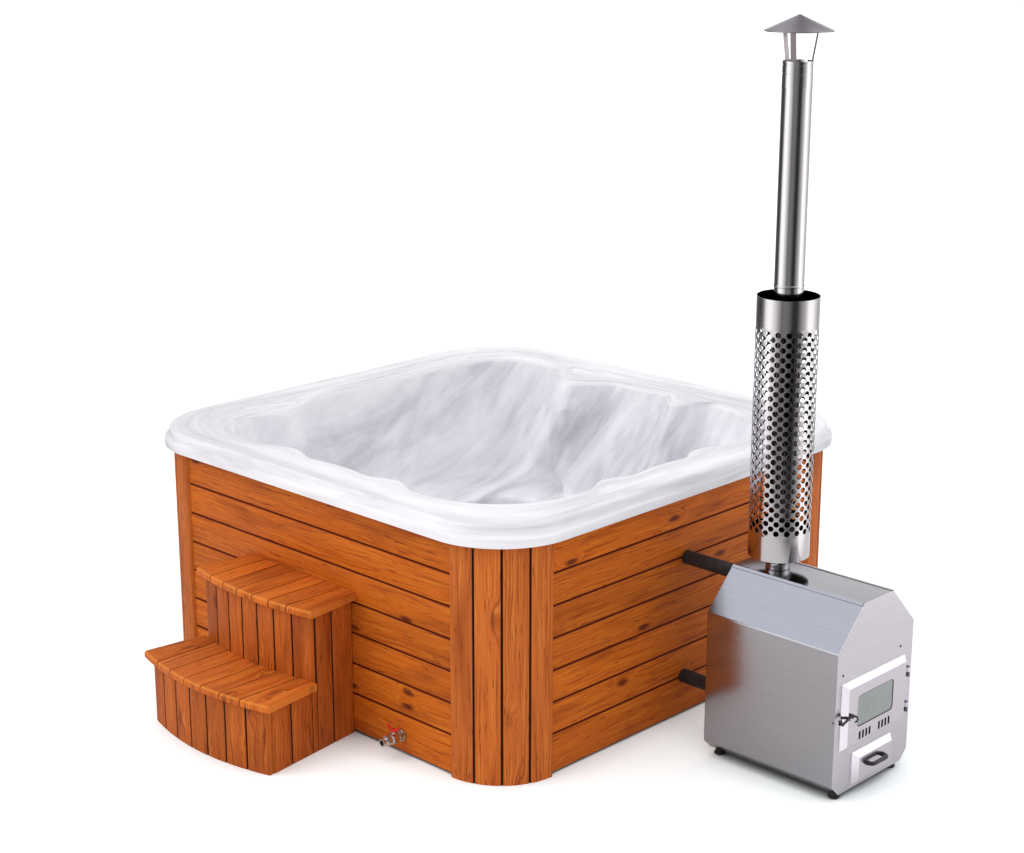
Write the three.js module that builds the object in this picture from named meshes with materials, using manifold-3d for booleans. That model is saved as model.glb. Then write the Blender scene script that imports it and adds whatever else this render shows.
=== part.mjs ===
// Wood-burning hot tub: a square timber cabinet round a moulded bathing shell, an external stainless
// furnace with a water jacket, two hoses between them, a flue with a perforated heat guard and a rain
// cap, a drain valve, and a free-standing two-step unit. Millimetres, +Z up.
// The origin is the centre of the tub's footprint on the floor. Steps and drain valve are on the front,
// towards -Y. The furnace stands on the right, towards +X.

import * as THREE from 'three';
import { mergeVertices } from 'three/addons/utils/BufferGeometryUtils.js';
import Module from 'manifold-3d';

const wasm = await Module();
wasm.setup();

// Clearances
const seat = 0.3;
const passClearance = 1.5;
const overrun = 5;

// Timber cabinet
const claddingHalf = 1000;
const cornerRadius = 250;
const boardThickness = 20;
const boardGroundGap = 7;
const bottomBoardHeight = 151;
const boardPitch = 121.4;
const boardGrooveWidth = 8;
const boardGrooveDepth = 5;
const claddingTuck = 33;
const battenWidth = 45;
const battenDepth = 30;
const battenInset = 50;
const innerBattenShare = 0.32;
const staveProud = 10;
const staveThickness = 24;
const staveGrooveWidth = 7;
const staveGrooveDepth = 10;
const stavesPerCorner = 4;
const ribDistance = 195;
const ribHeight = 34;

// Timber frame inside the cabinet
const baseFrameHeight = 55;
const topFrameHeight = 70;
const frameWidth = 70;
const joistWidth = 70;
const joistSpacing = 300;
const postDepth = 55;
const postWidth = 90;

// Bathing shell
const rimTop = 973;
const rimHeight = 76;
const rimOverhang = 48;
const rimLedge = 14;
const rimLedgeDrop = 36;
const rimRound = 14;
const rimCornerRadius = 310;
const raisedBandWidth = 78;
const bandDrop = 9;
const bandStepWidth = 8;
const openingInset = 205;
const openingCornerRadius = 410;
const lipRadius = 18;
const wallLean = 112;
const seatCornerRadius = 350;
const seatHeight = 470;
const seatFillet = 42;
const pillarShare = 0.6;
const pillarWidthShare = 0.3;
const pillarReachTop = 58;
const pillarReachSeat = 105;
const middleSwell = 26;
const footwellTopHalf = 455;
const footwellFloorHalf = 420;
const footwellCornerRadius = 190;
const footwellEdge = 22;
const footwellFillet = 40;
const shellThickness = 7;
const floorCentreHalf = 130;

// Water fittings, hoses and drain
const hoseY = -14;
const upperHoseHeight = 640;
const lowerHoseHeight = 160;
const hoseRadius = 27;
const hoseWall = 5;
const fittingWall = 4;
const fittingBarrelRadius = 26;
const flangeRadius = 38;
const flangeThickness = 8;
const fittingNutRadius = 36;
const fittingNutLength = 14;
const tailLength = 60;
const padRadius = 44;
const padStand = 3;
const drainX = 150;
const drainHeight = 134;
const drainPadRadius = 30;
const drainFlangeRadius = 26;
const drainBarrelRadius = 18;
const drainNutRadius = 25;
const drainPipeRadius = 14;
const drainPipeWall = 3;
const drainPipeStraight = 120;

// Drain valve
const valveX = 487;
const valveHeight = 75;
const valveNutRadius = 23.5;
const valveNutLength = 10;
const valveCollarRadius = 20;
const valveCollarLength = 13;
const valveNeckRadius = 16.5;
const valveChamberRadius = 21;
const valveBallDistance = 45;
const valveBodyLength = 62;
const valveBoreRadius = 10;
const valveBallRadius = 15.2;
const valveBallClearance = 1.3;
const stemRadius = 4;
const stemTop = 34;
const glandRadius = 9;
const glandTop = 27;
const handleHubTop = 38;
const wingSpan = 33;
const wingRise = 27;
const wingThickness = 5;
const outletLength = 28;
const outletRadius = 15.5;
const outletCollarRadius = 20.5;
const outletCollarLength = 7;

// Furnace
const furnaceGap = 288;
const furnaceX = claddingHalf + furnaceGap;
const furnaceLength = 564;
const furnaceHalfWidth = 230;
const furnaceBottom = 25;
const furnaceBottomChamfer = 38;
const furnaceShoulder = 559;
const furnaceRidgeHalf = 89;
const furnaceTop = 706;
const sheet = 2;
const insulation = 35;
const jacketBackGap = 42;
const jacketWall = 3;
const fireboxWall = 4;
const waterGapBack = 31;
const jacketFrontRing = 16;
const wetBottom = 100;
const fireboxHalf = 152;
const fireboxFloor = 64;
const fireboxShoulder = 500;
const fireboxTop = 600;
const fireboxTopHalf = 60;
const spigotReach = 50;
const spigotWall = 4;
const grateHeight = 190;
const grateThickness = 14;
const ledgeWidth = 14;
const ledgeThickness = 8;
const grateSlots = 8;
const grateSlotLength = 190;
const grateSlotWidth = 12;
const footRadius = 20;
const footBaseHeight = 10;
const footNeckRadius = 15;
const footInsetX = 30;
const footInsetY = 58;

// Furnace door and ash drawer
const doorLeft = -199;
const doorRight = 184;
const doorBottom = 190;
const doorTop = 440;
const panDepth = 20;
const panBevel = 18;
const windowLeft = -127;
const windowRight = 91;
const windowBottom = 265;
const windowTop = 383;
const windowRadius = 15;
const glassThickness = 4;
const glassLap = 9;
const frameLap = 18;
const frameThickness = 4;
const ventHeight = 26;
const ventWidth = 7;
const ventPitch = 20;
const ventBottom = 217;
const ventGroupOffset = 59;
const ventsPerGroup = 4;
const sealOuterInset = 9.8;
const sealWidth = 10;
const sealThickness = 7.5;
const mouthInset = 64;
const mouthDrop = 23;
const hingeOffset = 13;
const hingeStand = 10;
const hingeBarrelRadius = 6;
const hingePinRadius = 3;
const hingeBarrelHeight = 36;
const upperHingeHeight = 372;
const lowerHingeHeight = 237;
const latchPivotInset = 33;
const latchHeight = 322;
const latchDrop = 12;
const latchArmWidth = 9;
const latchArmThickness = 5;
const latchPinRadius = 5;
const latchBossRadius = 8;
const latchReach = 22;
const latchFingerThickness = 6;
const latchGripReach = 26;
const latchGripRadius = 3.5;
const latchFingerReach = 12;
const keeperThickness = 3;
const keeperGap = 5;
const keeperWidth = 20;
const keeperHeight = 16;
const drawerHalf = 118;
const drawerBottom = 37;
const drawerTop = 160;
const drawerBoxHalf = 94;
const drawerBoxHeight = 76;
const drawerBoxLength = 450;
const drawerHandleHalf = 55;
const drawerHandleStand = 25;
const drawerHandleRadius = 6;

// Flue
const flueOffset = 132;
const spigotTop = 735;
const flueWall = 1.5;
const lowerPipeRadius = 39;
const lowerPipeFoot = 41;
const lowerPipeFootHeight = 18;
const reducerBottom = 930;
const reducerHeight = 55;
const upperPipeRadius = 52;
const flueJoint = 1733;
const sleeveLength = 45;
const flueBead = 1.6;
const flueBeadHeight = 8;
const flueTop = 2500;
const guardRadius = 110;
const guardWall = 2;
const guardBottom = 759;
const guardTop = 1702;
const guardTopBand = 92;
const guardBottomBand = 80;
const guardColumns = 12;
const guardRows = 9;
const guardHoleRadius = 18;
const spacerHeight = 20;
const spacerBandThickness = 3;
const spacerArmThickness = 4;
const spacerInset = 60;
const capRadius = 117;
const capGap = 97;
const capRise = 55;
const capThickness = 2;
const capLegWidth = 20;
const capLegThickness = 2;
const capLegTopRadius = 68;
const capLegDepth = 45;
const capLegAngle = -76;

// Steps
const stepX = -59;
const stepHalfAtWall = 282;
const stepSplay = 7.9;
const stepRise = 282;
const treadThickness = 28;
const treadOverhang = 22;
const lowerStepDepth = 454;
const lowerStepBow = 56;
const upperStepDepth = 221;
const upperStepBow = 38;
const riserThickness = 20;
const riserStaves = 7;
const stepGrooveWidth = 6;
const stepGrooveDepth = 4;
const stepSideBoard = 113;
const treadBoards = 7;
const treadNose = 10;

// Facets round a full turn
const pipeSides = 20;
const fittingSides = 12;
const smallSides = 12;
const pipeBendSides = 10;

const paint = (color, roughness, metalness) =>
  new THREE.MeshStandardMaterial({ color, roughness, metalness });
const materials = {
  wood: paint(0xb9632f, 0.6, 0),
  frameWood: paint(0xc9a06a, 0.8, 0),
  shell: paint(0xe6e6ea, 0.2, 0),
  steel: paint(0xb9b9bd, 0.35, 1),
  fireboxSteel: paint(0x6d6a68, 0.6, 0.9),
  castIron: paint(0x2f2f31, 0.7, 0.6),
  rubber: paint(0x161616, 0.7, 0),
  plastic: paint(0x1b1b1c, 0.5, 0),
  fitting: paint(0xdadadc, 0.35, 0),
  nickel: paint(0xa9a39b, 0.3, 1),
  red: paint(0xc21c14, 0.4, 0),
  glass: paint(0x939c9a, 0.1, 0),
  rope: paint(0x8d8a84, 0.9, 0),
};

// Welds shared corners and drops triangles that have collapsed to a line
function weld(geometry) {
  const bare = geometry.clone();
  bare.deleteAttribute('normal');
  bare.deleteAttribute('uv');
  const merged = mergeVertices(bare);
  const index = merged.index.array;
  const kept = [];
  for (let i = 0; i < index.length; i += 3) {
    const [a, b, c] = [index[i], index[i + 1], index[i + 2]];
    if (a !== b && b !== c && c !== a) kept.push(a, b, c);
  }
  merged.setIndex(kept);
  return merged;
}

// Volume by the divergence theorem: the sum of a . (b x c) / 6 over all triangles
function signedVolume(geometry) {
  const position = geometry.attributes.position;
  const index = geometry.index.array;
  const a = new THREE.Vector3();
  const b = new THREE.Vector3();
  const c = new THREE.Vector3();
  let sum = 0;
  for (let i = 0; i < index.length; i += 3) {
    a.fromBufferAttribute(position, index[i]);
    b.fromBufferAttribute(position, index[i + 1]);
    c.fromBufferAttribute(position, index[i + 2]);
    sum += a.dot(b.cross(c)) / 6;
  }
  return sum;
}

// Turns every face round when the surface points inwards
function faceOut(geometry) {
  if (signedVolume(geometry) < 0) {
    const index = geometry.index.array;
    for (let i = 0; i < index.length; i += 3) [index[i], index[i + 1]] = [index[i + 1], index[i]];
  }
  return geometry;
}

function fromTriangles(triangles) {
  const geometry = new THREE.BufferGeometry();
  geometry.setFromPoints(triangles.flat());
  return faceOut(weld(geometry));
}

function toSolid(geometry) {
  const welded = weld(geometry);
  const vertProperties = Float32Array.from(welded.attributes.position.array);
  const triVerts = Uint32Array.from(welded.index.array);
  return new wasm.Manifold(new wasm.Mesh({ numProp: 3, vertProperties, triVerts }));
}

function toGeometry(solid) {
  const mesh = solid.getMesh();
  const geometry = new THREE.BufferGeometry();
  geometry.setAttribute('position', new THREE.BufferAttribute(mesh.vertProperties, 3));
  geometry.setIndex(new THREE.BufferAttribute(mesh.triVerts, 1));
  return geometry;
}

const join = (first, ...others) =>
  toGeometry(others.reduce((solid, other) => solid.add(toSolid(other)), toSolid(first)));
const cut = (first, ...others) =>
  toGeometry(others.reduce((solid, other) => solid.subtract(toSolid(other)), toSolid(first)));

const shapeOf = (points) => new THREE.Shape(points.map(([x, y]) => new THREE.Vector2(x, y)));
const pathOf = (points) => new THREE.Path(points.map(([x, y]) => new THREE.Vector2(x, y)));

function extruded(shape, depth) {
  return new THREE.ExtrudeGeometry(shape, { depth, bevelEnabled: false, curveSegments: 4 });
}

// Extrusions with the outline in the plane across the named axis: (x, y), (y, z) or (x, z)
const alongZ = (shape, z0, z1) => extruded(shape, z1 - z0).translate(0, 0, z0);
const cyclic = new THREE.Matrix4().makeBasis(
  new THREE.Vector3(0, 1, 0), new THREE.Vector3(0, 0, 1), new THREE.Vector3(1, 0, 0));
const alongX = (shape, x0, x1) => extruded(shape, x1 - x0).applyMatrix4(cyclic).translate(x0, 0, 0);
const upright = new THREE.Matrix4().makeBasis(
  new THREE.Vector3(1, 0, 0), new THREE.Vector3(0, 0, 1), new THREE.Vector3(0, -1, 0));
const alongY = (shape, y0, y1) => extruded(shape, y1 - y0).applyMatrix4(upright).translate(0, y1, 0);

function block(x0, x1, y0, y1, z0, z1) {
  const box = new THREE.BoxGeometry(x1 - x0, y1 - y0, z1 - z0);
  return box.translate((x0 + x1) / 2, (y0 + y1) / 2, (z0 + z1) / 2);
}

// Turned piece: the profile holds [radius, distance along the axis] pairs, and closes on itself
function turned(profile, axis, centre, sides = pipeSides) {
  const points = profile.map(([radius, along]) => new THREE.Vector2(radius, along));
  if (!profile.some(([radius]) => radius === 0)) points.push(points[0].clone());
  const geometry = new THREE.LatheGeometry(points, sides);
  if (axis === 'z') geometry.rotateX(Math.PI / 2);
  if (axis === 'x') geometry.rotateZ(-Math.PI / 2);
  return faceOut(weld(geometry)).translate(...centre);
}

function rod(radius, from, to, axis, centre, sides = fittingSides) {
  return turned([[0, from], [radius, from], [radius, to], [0, to]], axis, centre, sides);
}

function tube(outer, inner, from, to, axis, centre, sides = fittingSides) {
  return turned([[inner, from], [outer, from], [outer, to], [inner, to]], axis, centre, sides);
}

// Skins a row of loops of equal length and closes both ends with a fan
function loft(loops) {
  const triangles = [];
  const count = loops[0].length;
  for (let ring = 0; ring + 1 < loops.length; ring += 1) {
    for (let i = 0; i < count; i += 1) {
      const next = (i + 1) % count;
      const [a, b] = [loops[ring][i], loops[ring][next]];
      const [c, d] = [loops[ring + 1][next], loops[ring + 1][i]];
      triangles.push([a, b, c], [a, c, d]);
    }
  }
  const middle = (loop) => loop.reduce((sum, p) => sum.add(p), new THREE.Vector3()).divideScalar(count);
  const first = loops[0];
  const last = loops[loops.length - 1];
  const firstMiddle = middle(first);
  const lastMiddle = middle(last);
  for (let i = 0; i < count; i += 1) {
    const next = (i + 1) % count;
    triangles.push([first[next], first[i], firstMiddle], [last[i], last[next], lastMiddle]);
  }
  return fromTriangles(triangles);
}

// Moves every side of a convex outline inwards by the same distance; a negative one moves it out
function insetConvex(points, distance) {
  const area = points.reduce((sum, [x, y], i) => {
    const [nx, ny] = points[(i + 1) % points.length];
    return sum + x * ny - nx * y;
  }, 0);
  const turn = Math.sign(area);
  const lines = points.map(([x, y], i) => {
    const [nx, ny] = points[(i + 1) % points.length];
    const length = Math.hypot(nx - x, ny - y);
    const normal = [-(ny - y) / length * turn, (nx - x) / length * turn];
    return { normal, offset: normal[0] * x + normal[1] * y + distance };
  });
  return lines.map((line, i) => {
    const before = lines[(i + lines.length - 1) % lines.length];
    const [a, b] = before.normal;
    const [c, d] = line.normal;
    const det = a * d - b * c;
    return [(before.offset * d - b * line.offset) / det, (a * line.offset - before.offset * c) / det];
  });
}

const rectangle = (x0, x1, y0, y1) => [[x0, y0], [x1, y0], [x1, y1], [x0, y1]];

function roundedRectangle(x0, x1, y0, y1, radius) {
  const corners = [[x1 - radius, y1 - radius], [x0 + radius, y1 - radius],
    [x0 + radius, y0 + radius], [x1 - radius, y0 + radius]];
  return corners.flatMap(([x, y], corner) => [0, 1, 2, 3].map((step) => {
    const angle = (corner + step / 3) * Math.PI / 2;
    return [x + radius * Math.cos(angle), y + radius * Math.sin(angle)];
  }));
}

// Largest radius that slides into a faceted bore, and smallest bore that takes a faceted rod
const slidesInto = (bore, sides) => bore * Math.cos(Math.PI / sides) - seat;
const boreFor = (radius, sides) => (radius + seat) / Math.cos(Math.PI / sides);

const polar = (radius, angle) => [radius * Math.cos(angle), radius * Math.sin(angle)];
const arcPoints = (radius, from, to, segments) =>
  Array.from({ length: segments + 1 }, (_, i) => polar(radius, from + (to - from) * i / segments));

const root = new THREE.Group();

function place(parent, name, geometry, material) {
  const shown = geometry.index ? geometry : weld(geometry);
  shown.computeVertexNormals();
  const mesh = new THREE.Mesh(shown, material);
  mesh.name = name;
  parent.add(mesh);
  return mesh;
}

const quarter = Math.PI / 2;
const sideNames = ['right', 'back', 'left', 'front'];

// Cabinet levels and half widths that several pieces share
const rimBottom = rimTop - rimHeight;
const rimUnderside = rimTop - bandDrop - shellThickness;
const claddingTop = rimBottom + claddingTuck;
const topFrameTop = rimUnderside - seat;
const topFrameBottom = topFrameTop - topFrameHeight;
const frameHalf = claddingHalf - boardThickness - battenDepth - seat;
const cornerCentre = claddingHalf - cornerRadius;
const battenTop = topFrameBottom + ribHeight;

// Board panel facing +X, with V grooves between the boards and battens behind
function panelGeometry() {
  const outer = claddingHalf;
  const inner = claddingHalf - boardThickness;
  const points = [[inner, boardGroundGap], [outer, boardGroundGap]];
  const firstGroove = boardGroundGap + bottomBoardHeight;
  for (let z = firstGroove; z + boardGrooveWidth < claddingTop; z += boardPitch) {
    points.push([outer, z - boardGrooveWidth / 2], [outer - boardGrooveDepth, z]);
    points.push([outer, z + boardGrooveWidth / 2]);
  }
  points.push([outer, claddingTop], [inner, claddingTop]);
  const half = cornerCentre - seat;
  const boards = alongY(shapeOf(points), -half, half);
  const outerBatten = cornerCentre - battenInset;
  const innerBatten = cornerCentre * innerBattenShare;
  const offsets = [-outerBatten, -innerBatten, innerBatten, outerBatten];
  const battens = offsets.map((y) => block(
    inner - battenDepth, inner + boardThickness / 2,
    y - battenWidth / 2, y + battenWidth / 2, boardGroundGap, battenTop));
  return join(boards, ...battens);
}

function addPanels() {
  const holes = {
    right: [upperHoseHeight, lowerHoseHeight].map((z) => rod(hoseRadius + passClearance,
      frameHalf, claddingHalf + overrun, 'x', [0, hoseY, z])),
    front: [rod(drainPipeRadius + passClearance, -claddingHalf - overrun, -frameHalf, 'y',
      [valveX, 0, valveHeight])],
  };
  sideNames.forEach((side, turns) => {
    const turnedPanel = panelGeometry().rotateZ(turns * quarter);
    const geometry = holes[side] ? cut(turnedPanel, ...holes[side]) : turnedPanel;
    place(root, `${side}_panel`, geometry, materials.wood);
  });
}

// Rounded corner of staves for the +X +Y corner, with a rib top and bottom that seats on the frame
function cornerGeometry() {
  const outer = cornerRadius + staveProud;
  const inner = outer - staveThickness;
  const pitch = quarter / stavesPerCorner;
  const grooveAngle = staveGrooveWidth / 2 / outer;
  const face = [];
  for (let stave = 0; stave < stavesPerCorner; stave += 1) {
    const from = stave * pitch + (stave > 0 ? grooveAngle : 0);
    const to = (stave + 1) * pitch - (stave + 1 < stavesPerCorner ? grooveAngle : 0);
    face.push(...arcPoints(outer, from, to, 2));
    if (stave + 1 < stavesPerCorner) face.push(polar(outer - staveGrooveDepth, (stave + 1) * pitch));
  }
  const back = arcPoints(inner, quarter, 0, stavesPerCorner * 2);
  const staves = alongZ(shapeOf([...face, ...back]), 0, claddingTop);
  const ribRadius = (inner + outer - staveGrooveDepth) / 2;
  const ribReach = Math.acos((ribDistance + seat) / ribRadius);
  const rib = shapeOf(arcPoints(ribRadius, quarter / 2 - ribReach, quarter / 2 + ribReach, 4));
  const ribInset = (baseFrameHeight - ribHeight) / 2;
  const lowerRib = alongZ(rib, ribInset, ribInset + ribHeight);
  const upperRib = alongZ(rib, battenTop - ribHeight, battenTop);
  return join(staves, lowerRib, upperRib).translate(cornerCentre, cornerCentre, 0);
}

function addCorners() {
  ['back_right', 'back_left', 'front_left', 'front_right'].forEach((corner, turns) => {
    place(root, `${corner}_corner_staves`, cornerGeometry().rotateZ(turns * quarter), materials.wood);
  });
}

// Square with corners cut off so that it clears the round cabinet corners
function frameOutline(half, cornerDistance) {
  const near = 2 * cornerCentre + Math.SQRT2 * cornerDistance - half;
  const corner = [[half, near], [near, half]];
  return [0, 1, 2, 3].flatMap((turns) => corner.map(([x, y]) => {
    const [cos, sin] = [Math.cos(turns * quarter), Math.sin(turns * quarter)];
    return [x * cos - y * sin, x * sin + y * cos];
  }));
}

function frameRing(z0, z1) {
  const shape = shapeOf(frameOutline(frameHalf, ribDistance));
  shape.holes.push(pathOf(frameOutline(frameHalf - frameWidth, ribDistance - frameWidth)));
  return alongZ(shape, z0, z1);
}

function addFrame() {
  const joistHalf = frameHalf - frameWidth / 2;
  const joists = [-joistSpacing, 0, joistSpacing].map((y) => block(
    -joistHalf, joistHalf, y - joistWidth / 2, y + joistWidth / 2, 0, baseFrameHeight));
  place(root, 'base_frame', join(frameRing(0, baseFrameHeight), ...joists), materials.frameWood);
  place(root, 'top_frame', frameRing(topFrameBottom, topFrameTop), materials.frameWood);
  const postCentre = cornerCentre + (ribDistance - frameWidth / 2) / Math.SQRT2;
  ['back_right', 'back_left', 'front_left', 'front_right'].forEach((corner, turns) => {
    const post = block(-postDepth / 2, postDepth / 2, -postWidth / 2, postWidth / 2,
      baseFrameHeight + seat, topFrameBottom - seat);
    post.rotateZ(quarter / 2).translate(postCentre, postCentre, 0).rotateZ(turns * quarter);
    place(root, `${corner}_post`, post, materials.frameWood);
  });
}

// Smooth hump that falls from one at zero to nothing at one
const hump = (t) => (Math.abs(t) < 1 ? (1 + Math.cos(Math.PI * t)) / 2 : 0);

// One level of the shell: a rounded square whose sides swell inwards at the pillars between the seats
function shellLoop({ half, radius, pillar = 0, swell = 0, z }) {
  const sideSteps = 10;
  const cornerSteps = 4;
  const straight = half - radius;
  const points = [];
  for (let i = 0; i < sideSteps; i += 1) {
    const share = 2 * i / sideSteps - 1;
    const humps = hump((Math.abs(share) - pillarShare) / pillarWidthShare);
    points.push([half - pillar * humps - swell * hump(share / pillarShare), straight * share]);
  }
  for (let i = 0; i < cornerSteps; i += 1) {
    const angle = quarter * i / cornerSteps;
    points.push([straight + radius * Math.cos(angle), straight + radius * Math.sin(angle)]);
  }
  return [0, 1, 2, 3].flatMap((turns) => points.map(([x, y]) =>
    new THREE.Vector3(x, y, z).applyAxisAngle(new THREE.Vector3(0, 0, 1), turns * quarter)));
}

const skirtHalf = claddingHalf + rimOverhang;
const upperRimHalf = skirtHalf - rimLedge;
const openingHalf = skirtHalf - openingInset;
const bandHalf = upperRimHalf - raisedBandWidth;
const bandTop = rimTop - bandDrop;
const floorTop = baseFrameHeight + seat + shellThickness;
const wallFoot = seatHeight + seatFillet;
const wallHead = bandTop - 2 * lipRadius;
const seatBackHalf = openingHalf - wallLean;

// Inner face of the leaning wall above the seats, and of the footwell wall, at a height
const wallHalf = (z) => seatBackHalf + wallLean * (z - wallFoot) / (wallHead - wallFoot);
const footwellHalf = (z) => footwellFloorHalf + (footwellTopHalf - footwellFloorHalf)
  * (z - floorTop - footwellFillet) / (seatHeight - footwellEdge - floorTop - footwellFillet);

function shellLoops() {
  const t = shellThickness;
  const seatPillar = { pillar: pillarReachSeat, swell: middleSwell };
  const openPillar = { pillar: pillarReachTop, swell: middleSwell };
  const foot = footwellCornerRadius;
  const open = openingCornerRadius;
  const rim = rimCornerRadius;
  const seatR = seatCornerRadius;
  const inside = [
    { half: floorCentreHalf, radius: floorCentreHalf, z: floorTop },
    { half: footwellFloorHalf - footwellFillet, radius: foot, z: floorTop },
    { half: footwellFloorHalf, radius: foot, z: floorTop + footwellFillet },
    { half: footwellTopHalf, radius: foot, z: seatHeight - footwellEdge },
    { half: footwellTopHalf + footwellEdge, radius: foot, z: seatHeight },
    { half: seatBackHalf - seatFillet, radius: seatR, z: seatHeight, ...seatPillar },
    { half: seatBackHalf - seatFillet / 4, radius: seatR, z: seatHeight + seatFillet / 3, ...seatPillar },
    { half: seatBackHalf, radius: seatR, z: wallFoot, ...seatPillar },
    { half: wallHalf(wallHead), radius: open, z: wallHead, ...openPillar },
    { half: openingHalf + lipRadius / 4, radius: open, z: bandTop - lipRadius / 2, ...openPillar },
    { half: openingHalf + lipRadius, radius: open, z: bandTop, ...openPillar },
    { half: bandHalf - bandStepWidth, radius: rim, z: bandTop },
    { half: bandHalf, radius: rim, z: rimTop },
    { half: upperRimHalf - rimRound, radius: rim, z: rimTop },
    { half: upperRimHalf - rimRound / 4, radius: rim, z: rimTop - rimRound / 4 },
    { half: upperRimHalf, radius: rim, z: rimTop - rimRound },
    { half: upperRimHalf, radius: rim, z: rimTop - rimLedgeDrop },
    { half: skirtHalf, radius: rim, z: rimTop - rimLedgeDrop - rimLedge / 2 },
    { half: skirtHalf, radius: rim, z: rimBottom },
  ];
  const outside = [
    { half: skirtHalf - t, radius: rim, z: rimBottom },
    { half: upperRimHalf - t, radius: rim, z: rimUnderside },
    { half: openingHalf + lipRadius + t, radius: open + t, z: rimUnderside, ...openPillar },
    { half: seatBackHalf + t, radius: seatR + t, z: wallFoot - t, ...seatPillar },
    { half: seatBackHalf - seatFillet / 2, radius: seatR, z: seatHeight - t, ...seatPillar },
    { half: footwellTopHalf + footwellEdge + t, radius: foot + t, z: seatHeight - t },
    { half: footwellTopHalf + t, radius: foot + t, z: seatHeight - footwellEdge - t },
    { half: footwellFloorHalf + t, radius: foot + t, z: floorTop + footwellFillet - t },
    { half: footwellFloorHalf - footwellFillet + t, radius: foot + t, z: floorTop - t },
    { half: floorCentreHalf, radius: floorCentreHalf, z: floorTop - t },
  ];
  return [...inside, ...outside].map(shellLoop);
}

// Flat pads under the fittings: each face stands clear of the leaning wall all round the pad
const padFace = (halfAt, z, radius) => Math.min(halfAt(z - radius), halfAt(z + radius)) - padStand;
const padBack = (halfAt, z, radius) =>
  Math.max(halfAt(z - radius), halfAt(z + radius)) + shellThickness + padStand;
const returnPad = padFace(wallHalf, upperHoseHeight, padRadius) - middleSwell;
const padEdgeShare = (padRadius - hoseY) / (wallHalf(upperHoseHeight) - openingCornerRadius);
const swellAtPadEdge = middleSwell * hump(padEdgeShare / pillarShare);
const returnPadBack = padBack(wallHalf, upperHoseHeight, padRadius) - swellAtPadEdge;
const suctionPad = padFace(footwellHalf, lowerHoseHeight, padRadius);
const suctionPadBack = padBack(footwellHalf, lowerHoseHeight, padRadius);
const drainPad = padFace(footwellHalf, drainHeight, drainPadRadius);
const drainPadBack = padBack(footwellHalf, drainHeight, drainPadRadius);

function addShell() {
  const bore = fittingBarrelRadius + seat;
  const far = padRadius;
  const upper = [0, hoseY, upperHoseHeight];
  const lower = [0, hoseY, lowerHoseHeight];
  const drain = [drainX, 0, drainHeight];
  const withPads = join(loft(shellLoops()),
    rod(padRadius, returnPad, returnPadBack, 'x', upper),
    rod(padRadius, suctionPad, suctionPadBack, 'x', lower),
    rod(drainPadRadius, -drainPadBack, -drainPad, 'y', drain));
  const shell = cut(withPads,
    rod(bore, returnPad - far, returnPadBack + far, 'x', upper),
    rod(bore, suctionPad - far, suctionPadBack + far, 'x', lower),
    rod(drainBarrelRadius + seat, -drainPadBack - far, -drainPad + far, 'y', drain));
  place(root, 'tub_shell', shell, materials.shell);
}

// Through-wall fitting: flange on the water side, nut on the dry side, hose tail beyond it
function fittingProfile(face, back, sizes) {
  const { flange, barrel, nut, tail, bore } = sizes;
  const nutEnd = back + seat + fittingNutLength;
  return [
    [bore, face - seat - flangeThickness], [flange, face - seat - flangeThickness],
    [flange, face - seat], [barrel, face - seat], [barrel, back + seat], [nut, back + seat],
    [nut, nutEnd], [tail, nutEnd], [tail, nutEnd + tailLength], [bore, nutEnd + tailLength],
  ];
}

const hoseBore = hoseRadius - hoseWall;
const spigotRadius = slidesInto(hoseBore, pipeSides);
const hoseSizes = {
  flange: flangeRadius, barrel: fittingBarrelRadius, nut: fittingNutRadius,
  tail: spigotRadius, bore: spigotRadius - fittingWall,
};

function addHoseCircuit() {
  const rows = [
    ['return', 'upper', returnPad, returnPadBack, upperHoseHeight],
    ['suction', 'lower', suctionPad, suctionPadBack, lowerHoseHeight],
  ];
  for (const [fitting, level, face, back, z] of rows) {
    const centre = [0, hoseY, z];
    place(root, `${fitting}_fitting`,
      turned(fittingProfile(face, back, hoseSizes), 'x', centre, fittingSides), materials.fitting);
    const start = back + fittingNutLength + 2 * seat;
    const end = furnaceX - seat;
    place(root, `${level}_hose`, tube(hoseRadius, hoseBore, start, end, 'x', centre), materials.rubber);
    place(root, `${level}_hose_clamp`, clampGeometry(end - spigotReach / 2, centre), materials.steel);
  }
}

// Worm-drive band with its screw housing on top
function clampGeometry(x, [, y, z]) {
  const bandWidth = latchBossRadius * 1.5;
  const inner = hoseRadius + seat;
  const outer = inner + hingePinRadius / 2;
  const band = tube(outer, inner, x - bandWidth / 2, x + bandWidth / 2, 'x', [0, y, z]);
  const housing = block(x - bandWidth / 2, x + bandWidth / 2, y - bandWidth / 2, y + bandWidth / 2,
    z + (inner + outer) / 2, z + outer + bandWidth / 2);
  return join(band, housing);
}

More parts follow.
